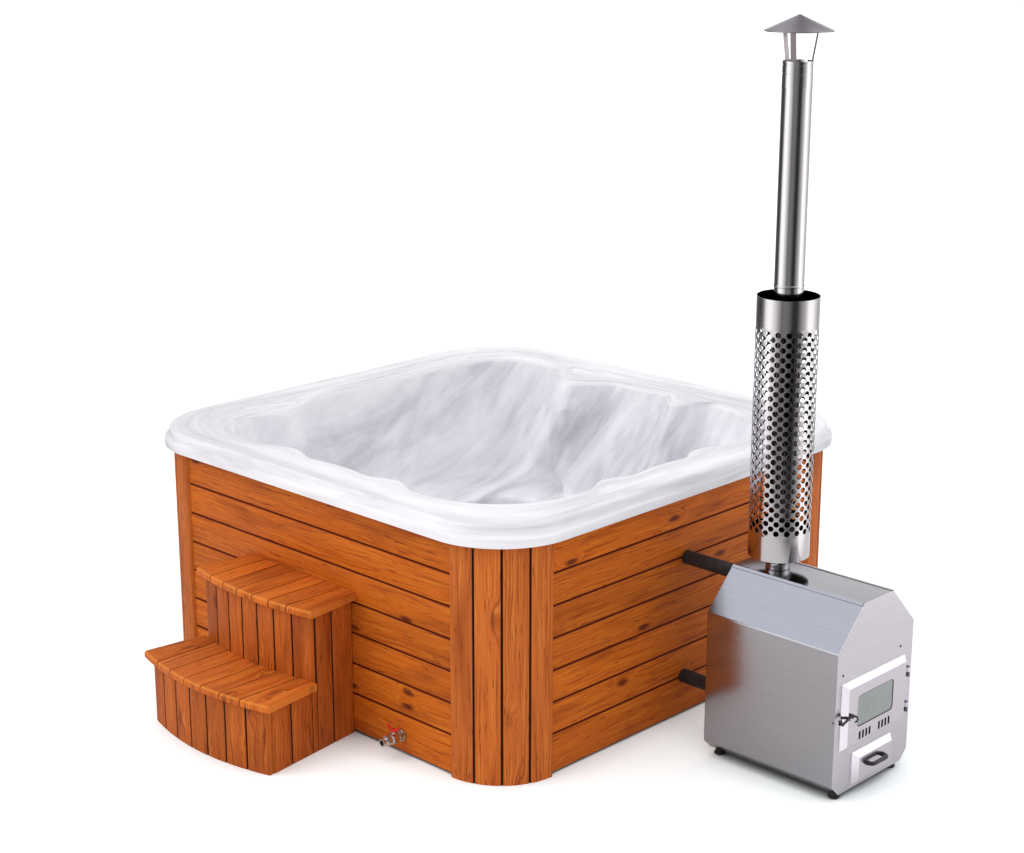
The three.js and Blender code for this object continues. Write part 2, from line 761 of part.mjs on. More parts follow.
function addDrain() {
  const drainBore = drainPipeRadius - drainPipeWall;
  const sizes = {
    flange: drainFlangeRadius, barrel: drainBarrelRadius, nut: drainNutRadius,
    tail: slidesInto(drainBore, pipeBendSides), bore: drainBore - drainPipeWall,
  };
  const fitting = fittingProfile(drainPad, drainPadBack, sizes).map(([r, y]) => [r, -y]);
  place(root, 'drain_fitting', turned(fitting, 'y', [drainX, 0, drainHeight], fittingSides), materials.fitting);
  const startY = -(drainPadBack + fittingNutLength + 2 * seat);
  const endY = -(claddingHalf + valveNutLength + valveCollarLength - seat);
  const bendStart = startY - drainPipeStraight;
  const bendEnd = endY + drainPipeStraight;
  const middle = (bendStart + bendEnd) / 2;
  const path = new THREE.CurvePath();
  const at = (x, y, z) => new THREE.Vector3(x, y, z);
  path.add(new THREE.LineCurve3(at(drainX, startY, drainHeight), at(drainX, bendStart, drainHeight)));
  path.add(new THREE.CubicBezierCurve3(at(drainX, bendStart, drainHeight), at(drainX, middle, drainHeight),
    at(valveX, middle, valveHeight), at(valveX, bendEnd, valveHeight)));
  path.add(new THREE.LineCurve3(at(valveX, bendEnd, valveHeight), at(valveX, endY, valveHeight)));
  const section = shapeOf(arcPoints(drainPipeRadius, 0, 2 * Math.PI, pipeBendSides).slice(1));
  section.holes.push(pathOf(arcPoints(drainBore, 0, 2 * Math.PI, pipeBendSides).slice(1)));
  const pipe = new THREE.ExtrudeGeometry(section, { steps: 14, extrudePath: path, bevelEnabled: false });
  place(root, 'drain_pipe', pipe, materials.plastic);
}

// Ball valve on the front boards. Its group sits where the pipe axis leaves the boards.
function addValve() {
  const valve = new THREE.Group();
  valve.position.set(valveX, -claddingHalf, valveHeight);
  root.add(valve);
  const bodyStart = valveNutLength + seat;
  const bodyEnd = bodyStart + valveBodyLength;
  const socket = boreFor(drainPipeRadius, fittingSides);
  const ball = valveBallDistance;
  const along = (profile) => profile.map(([r, y]) => [r, -y]);
  place(valve, 'valve_flange_nut', turned(along([[socket, seat], [valveNutRadius, seat],
    [valveNutRadius, valveNutLength], [socket, valveNutLength]]), 'y', [0, 0, 0], 6 * 2), materials.nickel);
  const chamber = valveBallRadius + valveBallClearance;
  const chamberReach = Math.sqrt(chamber ** 2 - valveBoreRadius ** 2);
  const chamberCurve = [-1, -0.6, 0, 0.6, 1].map((share) => {
    const y = share * chamberReach;
    return [Math.sqrt(chamber ** 2 - y ** 2), ball - y];
  });
  const bulge = valveChamberRadius;
  const shell = turned(along([
    [socket, bodyStart], [valveCollarRadius, bodyStart], [valveCollarRadius, bodyStart + valveCollarLength],
    [valveNeckRadius, bodyStart + valveCollarLength], [bulge, ball - bulge / 2], [bulge, ball + bulge / 2],
    [valveCollarRadius, bodyEnd - seat], [valveBoreRadius, bodyEnd - seat],
    ...chamberCurve, [valveBoreRadius, bodyStart + valveCollarLength],
    [socket, bodyStart + valveCollarLength],
  ]), 'y', [0, 0, 0], fittingSides);
  const gland = rod(glandRadius, chamber, glandTop - seat, 'z', [0, -ball, 0], smallSides);
  const stemHole = rod(stemRadius + seat, 0, glandTop + overrun, 'z', [0, -ball, 0], smallSides);
  place(valve, 'valve_body', cut(join(shell, gland), stemHole), materials.nickel);
  const sphere = new THREE.SphereGeometry(valveBallRadius, smallSides, smallSides / 2).rotateX(quarter);
  const stem = rod(stemRadius, 0, stemTop, 'z', [0, 0, 0], smallSides);
  const ballSolid = cut(join(faceOut(weld(sphere)), stem),
    rod(valveBoreRadius, -valveBallRadius - overrun, valveBallRadius + overrun, 'x', [0, 0, 0], smallSides));
  place(valve, 'valve_ball', ballSolid.translate(0, -ball, 0), materials.nickel);
  place(valve, 'valve_handle', handleGeometry().translate(0, -ball, 0), materials.red);
  const outletEnd = bodyEnd + outletLength;
  const collarEnd = bodyEnd + outletCollarLength;
  const outletBore = valveBoreRadius + seat;
  place(valve, 'valve_outlet', turned(along([[outletBore, bodyEnd], [outletCollarRadius, bodyEnd],
    [outletCollarRadius, collarEnd], [outletRadius - seat * 4, collarEnd],
    [outletRadius, outletEnd - outletCollarLength], [outletRadius, outletEnd], [outletBore, outletEnd]]),
  'y', [0, 0, 0], fittingSides), materials.nickel);
}

// Butterfly handle: a hub over the stem and two rising wings across the pipe when the valve is shut
function handleGeometry() {
  const wingOutlineShares = [[0.1, 0], [0.5, 0.1], [0.9, 0.45], [1, 0.75], [0.9, 1], [0.7, 0.95], [0.45, 0.6], [0.1, 0.4]];
  const wing = (side) => alongY(shapeOf(wingOutlineShares.map(([x, z]) =>
    [side * x * wingSpan, glandTop + z * wingRise])), -wingThickness / 2, wingThickness / 2);
  const hub = rod(glandRadius, glandTop, handleHubTop, 'z', [0, 0, 0], smallSides);
  const bore = rod(stemRadius + seat, glandTop - overrun, stemTop + seat, 'z', [0, 0, 0], smallSides);
  return cut(join(hub, wing(1), wing(-1)), bore);
}

// Furnace group: x runs from the rear plate to the door, y is across, from the centre line
const furnace = new THREE.Group();
furnace.position.set(furnaceX, hoseY, 0);
root.add(furnace);

const furnaceOutline = [
  [-furnaceHalfWidth + furnaceBottomChamfer, furnaceBottom],
  [furnaceHalfWidth - furnaceBottomChamfer, furnaceBottom],
  [furnaceHalfWidth, furnaceBottom + furnaceBottomChamfer],
  [furnaceHalfWidth, furnaceShoulder],
  [furnaceRidgeHalf, furnaceTop],
  [-furnaceRidgeHalf, furnaceTop],
  [-furnaceHalfWidth, furnaceShoulder],
  [-furnaceHalfWidth, furnaceBottom + furnaceBottomChamfer],
];
const plateFace = furnaceLength;
const doorBack = plateFace + seat;
const doorFront = doorBack + panDepth;
const doorInner = doorFront - sheet;
const spigotOuter = lowerPipeRadius - flueWall - seat;

function addCasing() {
  const sleeve = shapeOf(furnaceOutline);
  sleeve.holes.push(pathOf(insetConvex(furnaceOutline, sheet)));
  const wrapper = alongX(sleeve, sheet + seat, plateFace - sheet - seat);
  const flueHole = rod(spigotOuter + passClearance, furnaceTop - overrun, furnaceTop + overrun, 'z',
    [flueOffset, 0, 0], pipeSides);
  place(furnace, 'furnace_casing', cut(wrapper, flueHole), materials.steel);
  const portHoles = [upperHoseHeight, lowerHoseHeight].map((z) =>
    rod(spigotRadius + passClearance, -overrun, sheet + overrun, 'x', [0, 0, z]));
  place(furnace, 'furnace_rear_plate', cut(alongX(shapeOf(furnaceOutline), 0, sheet), ...portHoles), materials.steel);
  place(furnace, 'furnace_front_plate', frontPlateGeometry(), materials.steel);
}

const mouth = [doorLeft + mouthInset, doorRight - mouthInset, doorBottom + mouthDrop, doorTop - mouthDrop];
const fingerBack = doorBack + latchFingerThickness / 2;
const fingerFront = fingerBack + latchFingerThickness;
const fingerOuter = doorLeft - latchReach;
const keeperFront = fingerFront + keeperThickness;
const fingerTop = latchHeight - latchDrop;

// Front plate with the fire mouth and the ash opening
function frontPlateGeometry() {
  const plate = alongX(shapeOf(furnaceOutline), plateFace - sheet, plateFace);
  const through = [plateFace - sheet - overrun, plateFace + overrun];
  const mouthCut = alongX(shapeOf(rectangle(...mouth)), ...through);
  const drawerHalfCut = drawerBoxHalf + passClearance;
  const ashCut = alongX(shapeOf(rectangle(-drawerHalfCut, drawerHalfCut, fireboxFloor,
    fireboxFloor + drawerBoxHeight + 2 * passClearance)), ...through);
  return cut(plate, mouthCut, ashCut);
}

// Keeper of the latch: a flange on the front plate, a ledge under the finger and a cheek beside it
function addKeeper() {
  const right = fingerOuter + keeperWidth;
  const left = fingerOuter - keeperGap - keeperThickness;
  const back = plateFace + seat;
  const ledgeTop = fingerTop - latchArmWidth - seat;
  const ledgeBottom = ledgeTop - keeperThickness;
  const top = ledgeTop + keeperHeight;
  const flange = block(back, back + keeperThickness, left, right, ledgeBottom, top);
  const ledge = block(back, keeperFront, left, right, ledgeBottom, ledgeTop);
  const cheek = block(back, keeperFront, left, left + keeperThickness, ledgeBottom, top);
  place(furnace, 'latch_keeper', join(flange, ledge, cheek), materials.steel);
}

// Water jacket round the fire chamber, with the two hose spigots on its back plate
function jacketGeometry(jacket, chamber, chamberBack, front) {
  const ports = [upperHoseHeight, lowerHoseHeight];
  const inWater = jacketBackGap + jacketWall + sheet;
  const all = [-overrun, plateFace, -furnaceHalfWidth, furnaceHalfWidth];
  const skin = cut(alongX(shapeOf(jacket), jacketBackGap, front),
    alongX(shapeOf(insetConvex(jacket, jacketWall)), jacketBackGap + jacketWall, front + overrun));
  const floor = cut(alongX(shapeOf(jacket), jacketBackGap, front),
    block(...all, wetBottom + jacketWall, furnaceTop),
    alongX(shapeOf(insetConvex(chamber, -seat)), chamberBack - seat, front + overrun));
  const spigots = ports.map((z) => rod(spigotRadius, -spigotReach, inWater - sheet / 2, 'x', [0, 0, z]));
  const bores = ports.map((z) => rod(spigotRadius - spigotWall, -spigotReach - overrun, inWater, 'x', [0, 0, z]));
  const flueHole = rod(spigotOuter + seat, fireboxTop, furnaceTop, 'z', [flueOffset, 0, 0], pipeSides);
  return cut(join(cut(join(skin, floor), block(...all, 0, wetBottom)), ...spigots), ...bores, flueHole);
}

function addFirebox() {
  const jacket = insetConvex(furnaceOutline, insulation);
  const jacketFront = plateFace - sheet - seat;
  const ringBack = jacketFront - jacketFrontRing;
  const cavity = [[-fireboxHalf, fireboxFloor], [fireboxHalf, fireboxFloor], [fireboxHalf, fireboxShoulder],
    [fireboxTopHalf, fireboxTop], [-fireboxTopHalf, fireboxTop], [-fireboxHalf, fireboxShoulder]];
  const cavityBack = jacketBackGap + jacketWall + waterGapBack + fireboxWall;
  const chamberBack = cavityBack - fireboxWall;
  const chamber = insetConvex(cavity, -fireboxWall);
  place(furnace, 'water_jacket', jacketGeometry(jacket, chamber, chamberBack, ringBack - seat),
    materials.fireboxSteel);
  const cavitySolid = alongX(shapeOf(cavity), cavityBack, jacketFront + overrun);
  const walls = alongX(shapeOf(chamber), chamberBack, jacketFront);
  const ring = alongX(shapeOf(jacket), ringBack, jacketFront);
  const bearer = (side) => block(cavityBack, jacketFront, side * fireboxHalf / 2 - ledgeWidth,
    side * fireboxHalf / 2 + ledgeWidth, furnaceBottom + sheet + seat, fireboxFloor - fireboxWall / 2);
  const ledge = (side) => block(cavityBack - sheet, jacketFront,
    Math.min(side * (fireboxHalf - ledgeWidth), side * (fireboxHalf + sheet)),
    Math.max(side * (fireboxHalf - ledgeWidth), side * (fireboxHalf + sheet)),
    grateHeight - ledgeThickness, grateHeight);
  const flueSpigot = rod(spigotOuter, fireboxTop + sheet / 2, spigotTop, 'z', [flueOffset, 0, 0], pipeSides);
  const flueBore = rod(spigotOuter - fireboxWall, fireboxTop - overrun, spigotTop + overrun, 'z',
    [flueOffset, 0, 0], pipeSides);
  const body = cut(join(walls, ring, bearer(-1), bearer(1)), cavitySolid);
  place(furnace, 'firebox', cut(join(body, ledge(-1), ledge(1), flueSpigot), flueBore), materials.fireboxSteel);
  addGrate(cavityBack, jacketFront);
}

function addGrate(back, front) {
  const half = fireboxHalf - passClearance;
  const middle = (back + front) / 2;
  const length = front - back - 2 * ledgeWidth;
  const bottom = grateHeight + seat;
  const top = bottom + grateThickness;
  const pitch = length / (grateSlots + 1);
  const slots = Array.from({ length: grateSlots }, (_, i) => {
    const x = middle + (i - (grateSlots - 1) / 2) * pitch;
    return block(x - grateSlotWidth / 2, x + grateSlotWidth / 2, -grateSlotLength / 2,
      grateSlotLength / 2, bottom - overrun, top + overrun);
  });
  const plate = block(middle - length / 2, middle + length / 2, -half, half, bottom, top);
  place(furnace, 'fire_grate', cut(plate, ...slots), materials.castIron);
}

const pointsAt = (outline, x) => outline.map(([y, z]) => new THREE.Vector3(x, y, z));

// Bevelled sheet pan, open at the back, that stands in front of the front plate
function panGeometry(outline) {
  return loft([
    pointsAt(insetConvex(outline, panBevel), doorFront),
    pointsAt(outline, doorBack),
    pointsAt(insetConvex(outline, sheet), doorBack),
    pointsAt(insetConvex(outline, panBevel + sheet), doorInner),
  ]);
}

const hingeY = doorRight + hingeOffset;
const hingeX = plateFace + hingeStand;
const ventCentres = [-1, 1].flatMap((group) => Array.from({ length: ventsPerGroup }, (_, i) =>
  (windowLeft + windowRight) / 2 + group * ventGroupOffset + (i - (ventsPerGroup - 1) / 2) * ventPitch));
const latchY = doorLeft + latchPivotInset;

function addDoor() {
  const outline = rectangle(doorLeft, doorRight, doorBottom, doorTop);
  const window = roundedRectangle(windowLeft, windowRight, windowBottom, windowTop, windowRadius);
  const through = [doorInner - overrun, doorFront + overrun];
  const vents = ventCentres.map((y) => alongX(shapeOf(rectangle(y - ventWidth / 2, y + ventWidth / 2,
    ventBottom, ventBottom + ventHeight)), ...through));
  const latchHole = rod(latchPinRadius + seat, ...through, 'x', [0, latchY, latchHeight], smallSides);
  const knuckles = [upperHingeHeight, lowerHingeHeight].map(knuckleGeometry);
  const pins = [upperHingeHeight, lowerHingeHeight].map((z) =>
    rod(hingePinRadius + seat, z - hingeBarrelHeight, z + hingeBarrelHeight, 'z', [hingeX, hingeY, 0], smallSides));
  const pan = cut(panGeometry(outline), alongX(shapeOf(window), ...through), ...vents, latchHole);
  place(furnace, 'furnace_door', cut(join(pan, ...knuckles), ...pins), materials.steel);
  const glassFront = doorInner - seat;
  const glassBack = glassFront - glassThickness;
  const lap = (amount) => roundedRectangle(windowLeft - amount, windowRight + amount,
    windowBottom - amount, windowTop + amount, windowRadius + amount);
  place(furnace, 'door_glass', alongX(shapeOf(lap(glassLap)), glassBack, glassFront), materials.glass);
  const glassFrame = shapeOf(lap(frameLap));
  glassFrame.holes.push(pathOf(window));
  place(furnace, 'door_glass_frame', alongX(glassFrame, glassBack - seat - frameThickness, glassBack - seat),
    materials.fireboxSteel);
  const seal = shapeOf(insetConvex(outline, sealOuterInset));
  seal.holes.push(pathOf(insetConvex(outline, sealOuterInset + sealWidth)));
  place(furnace, 'door_seal', alongX(seal, doorBack, doorBack + sealThickness), materials.rope);
}

// Moving half of a hinge: a knuckle above the fixed one, with a lug to the door's edge
function knuckleGeometry(z) {
  const top = z + hingeBarrelHeight / 2;
  const barrel = rod(hingeBarrelRadius, z + seat, top, 'z', [hingeX, hingeY, 0], smallSides);
  const lug = block(doorBack + sheet, hingeX, doorRight - hingeBarrelRadius, hingeY - hingePinRadius,
    z + sheet, top - sheet);
  return join(barrel, lug);
}

// Fixed half of a hinge: a leaf on the front plate, a knuckle and the pin through both knuckles
function addHinges() {
  for (const [name, z] of [['upper', upperHingeHeight], ['lower', lowerHingeHeight]]) {
    const bottom = z - hingeBarrelHeight / 2;
    const leafTop = plateFace + seat + sheet * 1.5;
    const leaf = block(plateFace + seat, leafTop, hingeY - hingePinRadius + seat,
      hingeY + 2 * hingeBarrelRadius, bottom, z + hingeBarrelHeight / 2);
    const web = block(leafTop - sheet, hingeX, hingeY - hingePinRadius, hingeY + hingePinRadius, bottom, z - sheet);
    const barrel = rod(hingeBarrelRadius, bottom, z, 'z', [hingeX, hingeY, 0], smallSides);
    const pin = rod(hingePinRadius, bottom, z + hingeBarrelHeight / 2, 'z', [hingeX, hingeY, 0], smallSides);
    place(furnace, `${name}_door_hinge`, join(leaf, web, barrel, pin), materials.steel);
  }
}

// Hook latch: an arm over the door's edge whose finger drops into the keeper, turned by a curved grip
function addLatch() {
  const armBack = doorFront + seat;
  const armFront = armBack + latchArmThickness;
  const boss = rod(latchBossRadius, armBack, armFront + latchArmThickness, 'x', [0, latchY, latchHeight], smallSides);
  const pin = rod(latchPinRadius, doorInner - latchArmThickness, armFront, 'x', [0, latchY, latchHeight], smallSides);
  const head = rod(latchBossRadius, doorInner - latchArmThickness, doorInner - seat, 'x',
    [0, latchY, latchHeight], smallSides);
  const slope = [[latchY, latchHeight + latchArmWidth / 2], [fingerOuter, fingerTop],
    [fingerOuter, fingerTop - latchArmWidth], [latchY, latchHeight - latchArmWidth / 2]];
  const arm = alongX(shapeOf(slope), armBack, armFront);
  const back = block(fingerBack, armFront, fingerOuter, fingerOuter + latchArmWidth,
    fingerTop - latchArmWidth, fingerTop);
  const finger = block(fingerBack, fingerFront, fingerOuter,
    fingerOuter + latchArmWidth + latchFingerReach, fingerTop - latchArmWidth, fingerTop);
  const gripX = armFront + latchArmThickness - latchGripRadius;
  const grip = new THREE.CubicBezierCurve3(
    new THREE.Vector3(gripX, latchY, latchHeight),
    new THREE.Vector3(gripX + latchGripReach / 2, latchY + latchGripReach, latchHeight + latchGripReach / 4),
    new THREE.Vector3(gripX + latchGripReach / 2, latchY + latchGripReach * 1.2, latchHeight - latchGripReach),
    new THREE.Vector3(gripX + latchGripRadius, latchY + latchGripReach / 2, latchHeight - latchGripReach));
  const section = shapeOf(arcPoints(latchGripRadius, 0, 2 * Math.PI, 8).slice(1));
  const gripTube = new THREE.ExtrudeGeometry(section, { steps: 8, extrudePath: grip, bevelEnabled: false });
  place(furnace, 'door_latch', join(boss, pin, head, arm, back, finger, gripTube), materials.steel);
}

function addAshDrawer() {
  const outline = rectangle(-drawerHalf, drawerHalf, drawerBottom, drawerTop);
  const boxBottom = fireboxFloor + seat;
  const boxTop = boxBottom + drawerBoxHeight;
  const boxBack = plateFace - drawerBoxLength;
  const tray = cut(
    block(boxBack, doorFront - sheet / 2, -drawerBoxHalf, drawerBoxHalf, boxBottom, boxTop),
    block(boxBack + sheet, doorFront, -drawerBoxHalf + sheet, drawerBoxHalf - sheet, boxBottom + sheet, boxTop + overrun));
  place(furnace, 'ash_drawer', join(panGeometry(outline), tray), materials.steel);
  const handleHeight = (drawerBottom + drawerTop) / 2 + drawerHandleRadius;
  const front = doorFront + seat;
  const stand = front + drawerHandleStand;
  const corner = drawerHandleStand * 0.8;
  const path = new THREE.CurvePath();
  const at = (x, y) => new THREE.Vector3(x, y, handleHeight);
  const half = drawerHandleHalf;
  path.add(new THREE.QuadraticBezierCurve3(at(front, -half), at(stand, -half), at(stand, -half + corner)));
  path.add(new THREE.LineCurve3(at(stand, -half + corner), at(stand, half - corner)));
  path.add(new THREE.QuadraticBezierCurve3(at(stand, half - corner), at(stand, half), at(front, half)));
  const section = shapeOf(arcPoints(drawerHandleRadius, 0, 2 * Math.PI, 8).slice(1));
  const bow = new THREE.ExtrudeGeometry(section, { steps: 14, extrudePath: path, bevelEnabled: false });
  place(furnace, 'ash_drawer_handle', bow, materials.plastic);
}

function addFeet() {
  const top = furnaceBottom - seat;
  const spots = [['rear_left', -1, -1], ['rear_right', -1, 1], ['front_left', 1, -1], ['front_right', 1, 1]];
  for (const [name, endwise, side] of spots) {
    const x = furnaceLength / 2 + endwise * (furnaceLength / 2 - footInsetX);
    const y = side * (furnaceHalfWidth - footInsetY);
    const foot = turned([[0, 0], [footRadius, 0], [footRadius, footBaseHeight],
      [footNeckRadius, footBaseHeight], [footNeckRadius, top], [0, top]], 'z', [x, y, 0], smallSides);
    place(furnace, `${name}_foot`, foot, materials.rubber);
  }
}

// Flue group: everything is round and stands on the furnace's roof
const flue = new THREE.Group();
flue.position.set(flueOffset, 0, 0);
furnace.add(flue);

function addFluePipes() {
  const pipeStart = furnaceTop + seat;
  const inner = lowerPipeRadius - flueWall;
  const wide = upperPipeRadius - flueWall;
  const reducerTop = reducerBottom + reducerHeight;
  const footTop = pipeStart + lowerPipeFootHeight;
  place(flue, 'lower_flue_pipe', turned([
    [inner, pipeStart], [lowerPipeFoot, pipeStart], [lowerPipeFoot, footTop], [lowerPipeRadius, footTop],
    [lowerPipeRadius, reducerBottom], [upperPipeRadius, reducerTop], [upperPipeRadius, flueJoint],
    [wide, flueJoint], [wide, reducerTop], [inner, reducerBottom],
  ], 'z', [0, 0, 0]), materials.steel);
  const sleeve = wide - seat;
  const start = flueJoint + seat;
  const bead = upperPipeRadius + flueBead;
  place(flue, 'upper_flue_pipe', turned([
    [sleeve - flueWall, start - sleeveLength], [sleeve, start - sleeveLength], [sleeve, start],
    [bead, start], [bead, start + flueBeadHeight], [upperPipeRadius, start + flueBeadHeight],
    [upperPipeRadius, flueTop], [wide, flueTop], [wide, start + flueBeadHeight], [sleeve - flueWall, start],
  ], 'z', [0, 0, 0]), materials.steel);
}

// Heat guard: a sleeve pierced by staggered holes. The middle is tiled with rhombic cells whose corners
// lie halfway between the holes, each cell with one six-sided hole, and plain bands close both ends.
function guardGeometry() {
  const columns = 2 * guardColumns;
  const cellTop = guardTop - guardTopBand;
  const cellBottom = guardBottom + guardBottomBand;
  const pitch = (cellTop - cellBottom) / (guardRows + 1);
  const triangles = [];
  const point = (radius, angle, z) => new THREE.Vector3(radius * Math.cos(angle), radius * Math.sin(angle), z);
  const angleOf = (column) => (column + columns) % columns * 2 * Math.PI / columns;
  const heightOf = (row) => cellTop - (row + 1) * pitch;
  const skin = (a, b, c) => {
    const outer = [a, b, c].map(([angle, z]) => point(guardRadius, angle, z));
    const inner = [c, b, a].map(([angle, z]) => point(guardRadius - guardWall, angle, z));
    triangles.push(outer, inner);
  };
  const edge = (a, b) => {
    const [ao, bo] = [a, b].map(([angle, z]) => point(guardRadius, angle, z));
    const [ai, bi] = [a, b].map(([angle, z]) => point(guardRadius - guardWall, angle, z));
    triangles.push([ao, bo, bi], [ao, bi, ai]);
  };
  const cell = (column, row) => {
    const angle = angleOf(column);
    const z = heightOf(row);
    const [east, north, west, south] = [[angleOf(column + 1), z], [angle, z + pitch],
      [angleOf(column - 1), z], [angle, z - pitch]];
    const hole = Array.from({ length: 6 }, (_, i) => [
      angle + guardHoleRadius * Math.cos(i * Math.PI / 3) / guardRadius,
      z + guardHoleRadius * Math.sin(i * Math.PI / 3)]);
    skin(east, north, hole[1]);
    skin(east, hole[1], hole[0]);
    skin(north, hole[2], hole[1]);
    skin(north, west, hole[2]);
    skin(west, hole[3], hole[2]);
    skin(west, south, hole[4]);
    skin(west, hole[4], hole[3]);
    skin(south, hole[5], hole[4]);
    skin(south, east, hole[5]);
    skin(east, hole[0], hole[5]);
    hole.forEach((corner, i) => edge(corner, hole[(i + 1) % 6]));
  };
  for (let row = 0; row < guardRows; row += 1) {
    for (let column = row % 2; column < columns; column += 2) cell(column, row);
  }
  // Triangles between the outermost cells and the straight edge of each plain band
  for (let column = 0; column < columns; column += 1) {
    const top = [angleOf(column), cellTop];
    const topNext = [angleOf(column + 1), cellTop];
    const low = heightOf(guardRows - 1);
    const bottom = [angleOf(column), low - pitch];
    const bottomNext = [angleOf(column + 1), low - pitch];
    const firstDown = column % 2 === 0 ? [angleOf(column + 1), heightOf(0)] : [angleOf(column), heightOf(0)];
    skin(top, firstDown, topNext);
    const lastUp = (column + guardRows - 1) % 2 === 0 ? [angleOf(column + 1), low] : [angleOf(column), low];
    skin(bottom, bottomNext, lastUp);
    skin([top[0], guardTop], top, [topNext[0], guardTop]);
    skin(top, topNext, [topNext[0], guardTop]);
    skin([bottom[0], guardBottom], [bottomNext[0], guardBottom], bottom);
    skin([bottomNext[0], guardBottom], bottomNext, bottom);
    edge([top[0], guardTop], [topNext[0], guardTop]);
    edge([bottomNext[0], guardBottom], [bottom[0], guardBottom]);
  }
  return fromTriangles(triangles);
}

// Band round the pipe with three arms that hold the heat guard off it
function spacerGeometry(pipeRadius, z) {
  const inner = pipeRadius + seat;
  const band = tube(inner + spacerBandThickness, inner, z, z + spacerHeight, 'z', [0, 0, 0], pipeSides);
  const arms = [0, 1, 2].map((i) => block(
    inner + spacerBandThickness / 2, guardRadius - guardWall - 2 * seat,
    -spacerArmThickness / 2, spacerArmThickness / 2, z, z + spacerHeight,
  ).rotateZ(quarter / 6 + i * 2 * Math.PI / 3));
  return join(band, ...arms);
}

function addGuard() {
  place(flue, 'heat_guard', guardGeometry(), materials.steel);
  place(flue, 'lower_guard_spacer', spacerGeometry(lowerPipeRadius, guardBottom + spacerInset), materials.steel);
  place(flue, 'upper_guard_spacer', spacerGeometry(upperPipeRadius, guardTop - spacerInset - spacerHeight), materials.steel);
}

// Conical cap on three flat straps that spring from inside the pipe and splay out
function addRainCap() {
  const capEdge = flueTop + capGap;
  const capTip = capEdge + capRise;
  const cone = turned([[0, capTip - capThickness], [capRadius, capEdge], [capRadius, capEdge + capThickness],
    [0, capTip]], 'z', [0, 0, 0]);
  const room = slidesInto(upperPipeRadius - flueWall, pipeSides);
  const legFoot = Math.sqrt(room ** 2 - (capLegWidth / 2) ** 2);
  const fall = capRise / capRadius;
  const legTop = capTip - capThickness / 2 - fall * capLegTopRadius;
  const thickness = capLegThickness;
  const strap = shapeOf([
    [legFoot - thickness, flueTop - capLegDepth], [legFoot, flueTop - capLegDepth],
    [legFoot, flueTop], [capLegTopRadius, legTop], [capLegTopRadius - thickness, legTop],
    [legFoot - thickness, flueTop],
  ]);
  const legs = [0, 1, 2].map((i) => alongY(strap, -capLegWidth / 2, capLegWidth / 2)
    .rotateZ(THREE.MathUtils.degToRad(capLegAngle) + i * 2 * Math.PI / 3));
  place(flue, 'rain_cap', join(cone, ...legs), materials.steel);
}

// Steps group: x from the unit's centre line, y from the tub's front boards
const steps = new THREE.Group();
steps.position.set(stepX, -claddingHalf, 0);
root.add(steps);

const splay = Math.tan(THREE.MathUtils.degToRad(stepSplay));
const stepHalf = (depth) => stepHalfAtWall + splay * depth;

// Bowed front from left to right: the corners are at the depth, the middle further out by the bow
const bowedPoint = (depth, bow, overhang, share) =>
  [(stepHalf(depth) + overhang) * share, -(depth + overhang) - bow * (1 - share * share)];
const bowedFront = (depth, bow, overhang, segments) =>
  Array.from({ length: segments + 1 }, (_, i) => bowedPoint(depth, bow, overhang, 2 * i / segments - 1));

function treadGeometry(depth, bow, back, top) {
  const bottom = top - treadThickness;
  const levels = [[treadNose / 2, bottom], [0, bottom + treadNose / 2], [0, top - treadNose / 2],
    [treadNose / 4, top - treadNose / 6], [treadNose, top]];
  const loops = levels.map(([inset, z]) => {
    const front = bowedFront(depth, bow, treadOverhang - inset, 2 * treadBoards);
    return [...front, ...back(inset)].map(([x, y]) => new THREE.Vector3(x, y, z));
  });
  const slab = loft(loops);
  const width = 2 * stepHalf(depth);
  const seams = Array.from({ length: treadBoards - 1 }, (_, i) => {
    const x = width * ((i + 1) / treadBoards - 0.5);
    const groove = shapeOf([[x - stepGrooveWidth / 2, top + seat], [x, top - stepGrooveDepth / 2],
      [x + stepGrooveWidth / 2, top + seat]]);
    return alongY(groove, -depth - bow - 2 * treadOverhang, 0);
  });
  return cut(slab, ...seams);
}

// Curved riser of upright staves with V grooves between them
function riserGeometry(depth, bow, height) {
  const grooveShare = stepGrooveWidth / 2 / stepHalf(depth);
  const face = [bowedPoint(depth, bow, 0, -1)];
  for (let stave = 0; stave < riserStaves; stave += 1) {
    const middle = (2 * stave + 1) / riserStaves - 1;
    const seam = (2 * stave + 2) / riserStaves - 1;
    face.push(bowedPoint(depth, bow, 0, middle));
    if (stave + 1 < riserStaves) {
      face.push(bowedPoint(depth, bow, 0, seam - grooveShare));
      face.push(bowedPoint(depth - stepGrooveDepth, bow, 0, seam));
      face.push(bowedPoint(depth, bow, 0, seam + grooveShare));
    }
  }
  face.push(bowedPoint(depth, bow, 0, 1));
  const back = bowedFront(depth - riserThickness, bow, 0, riserStaves).reverse()
    .map(([x, y]) => [x * (1 - riserThickness / 2 / stepHalf(depth)), y]);
  return alongZ(shapeOf([...face, ...back]), 0, height);
}

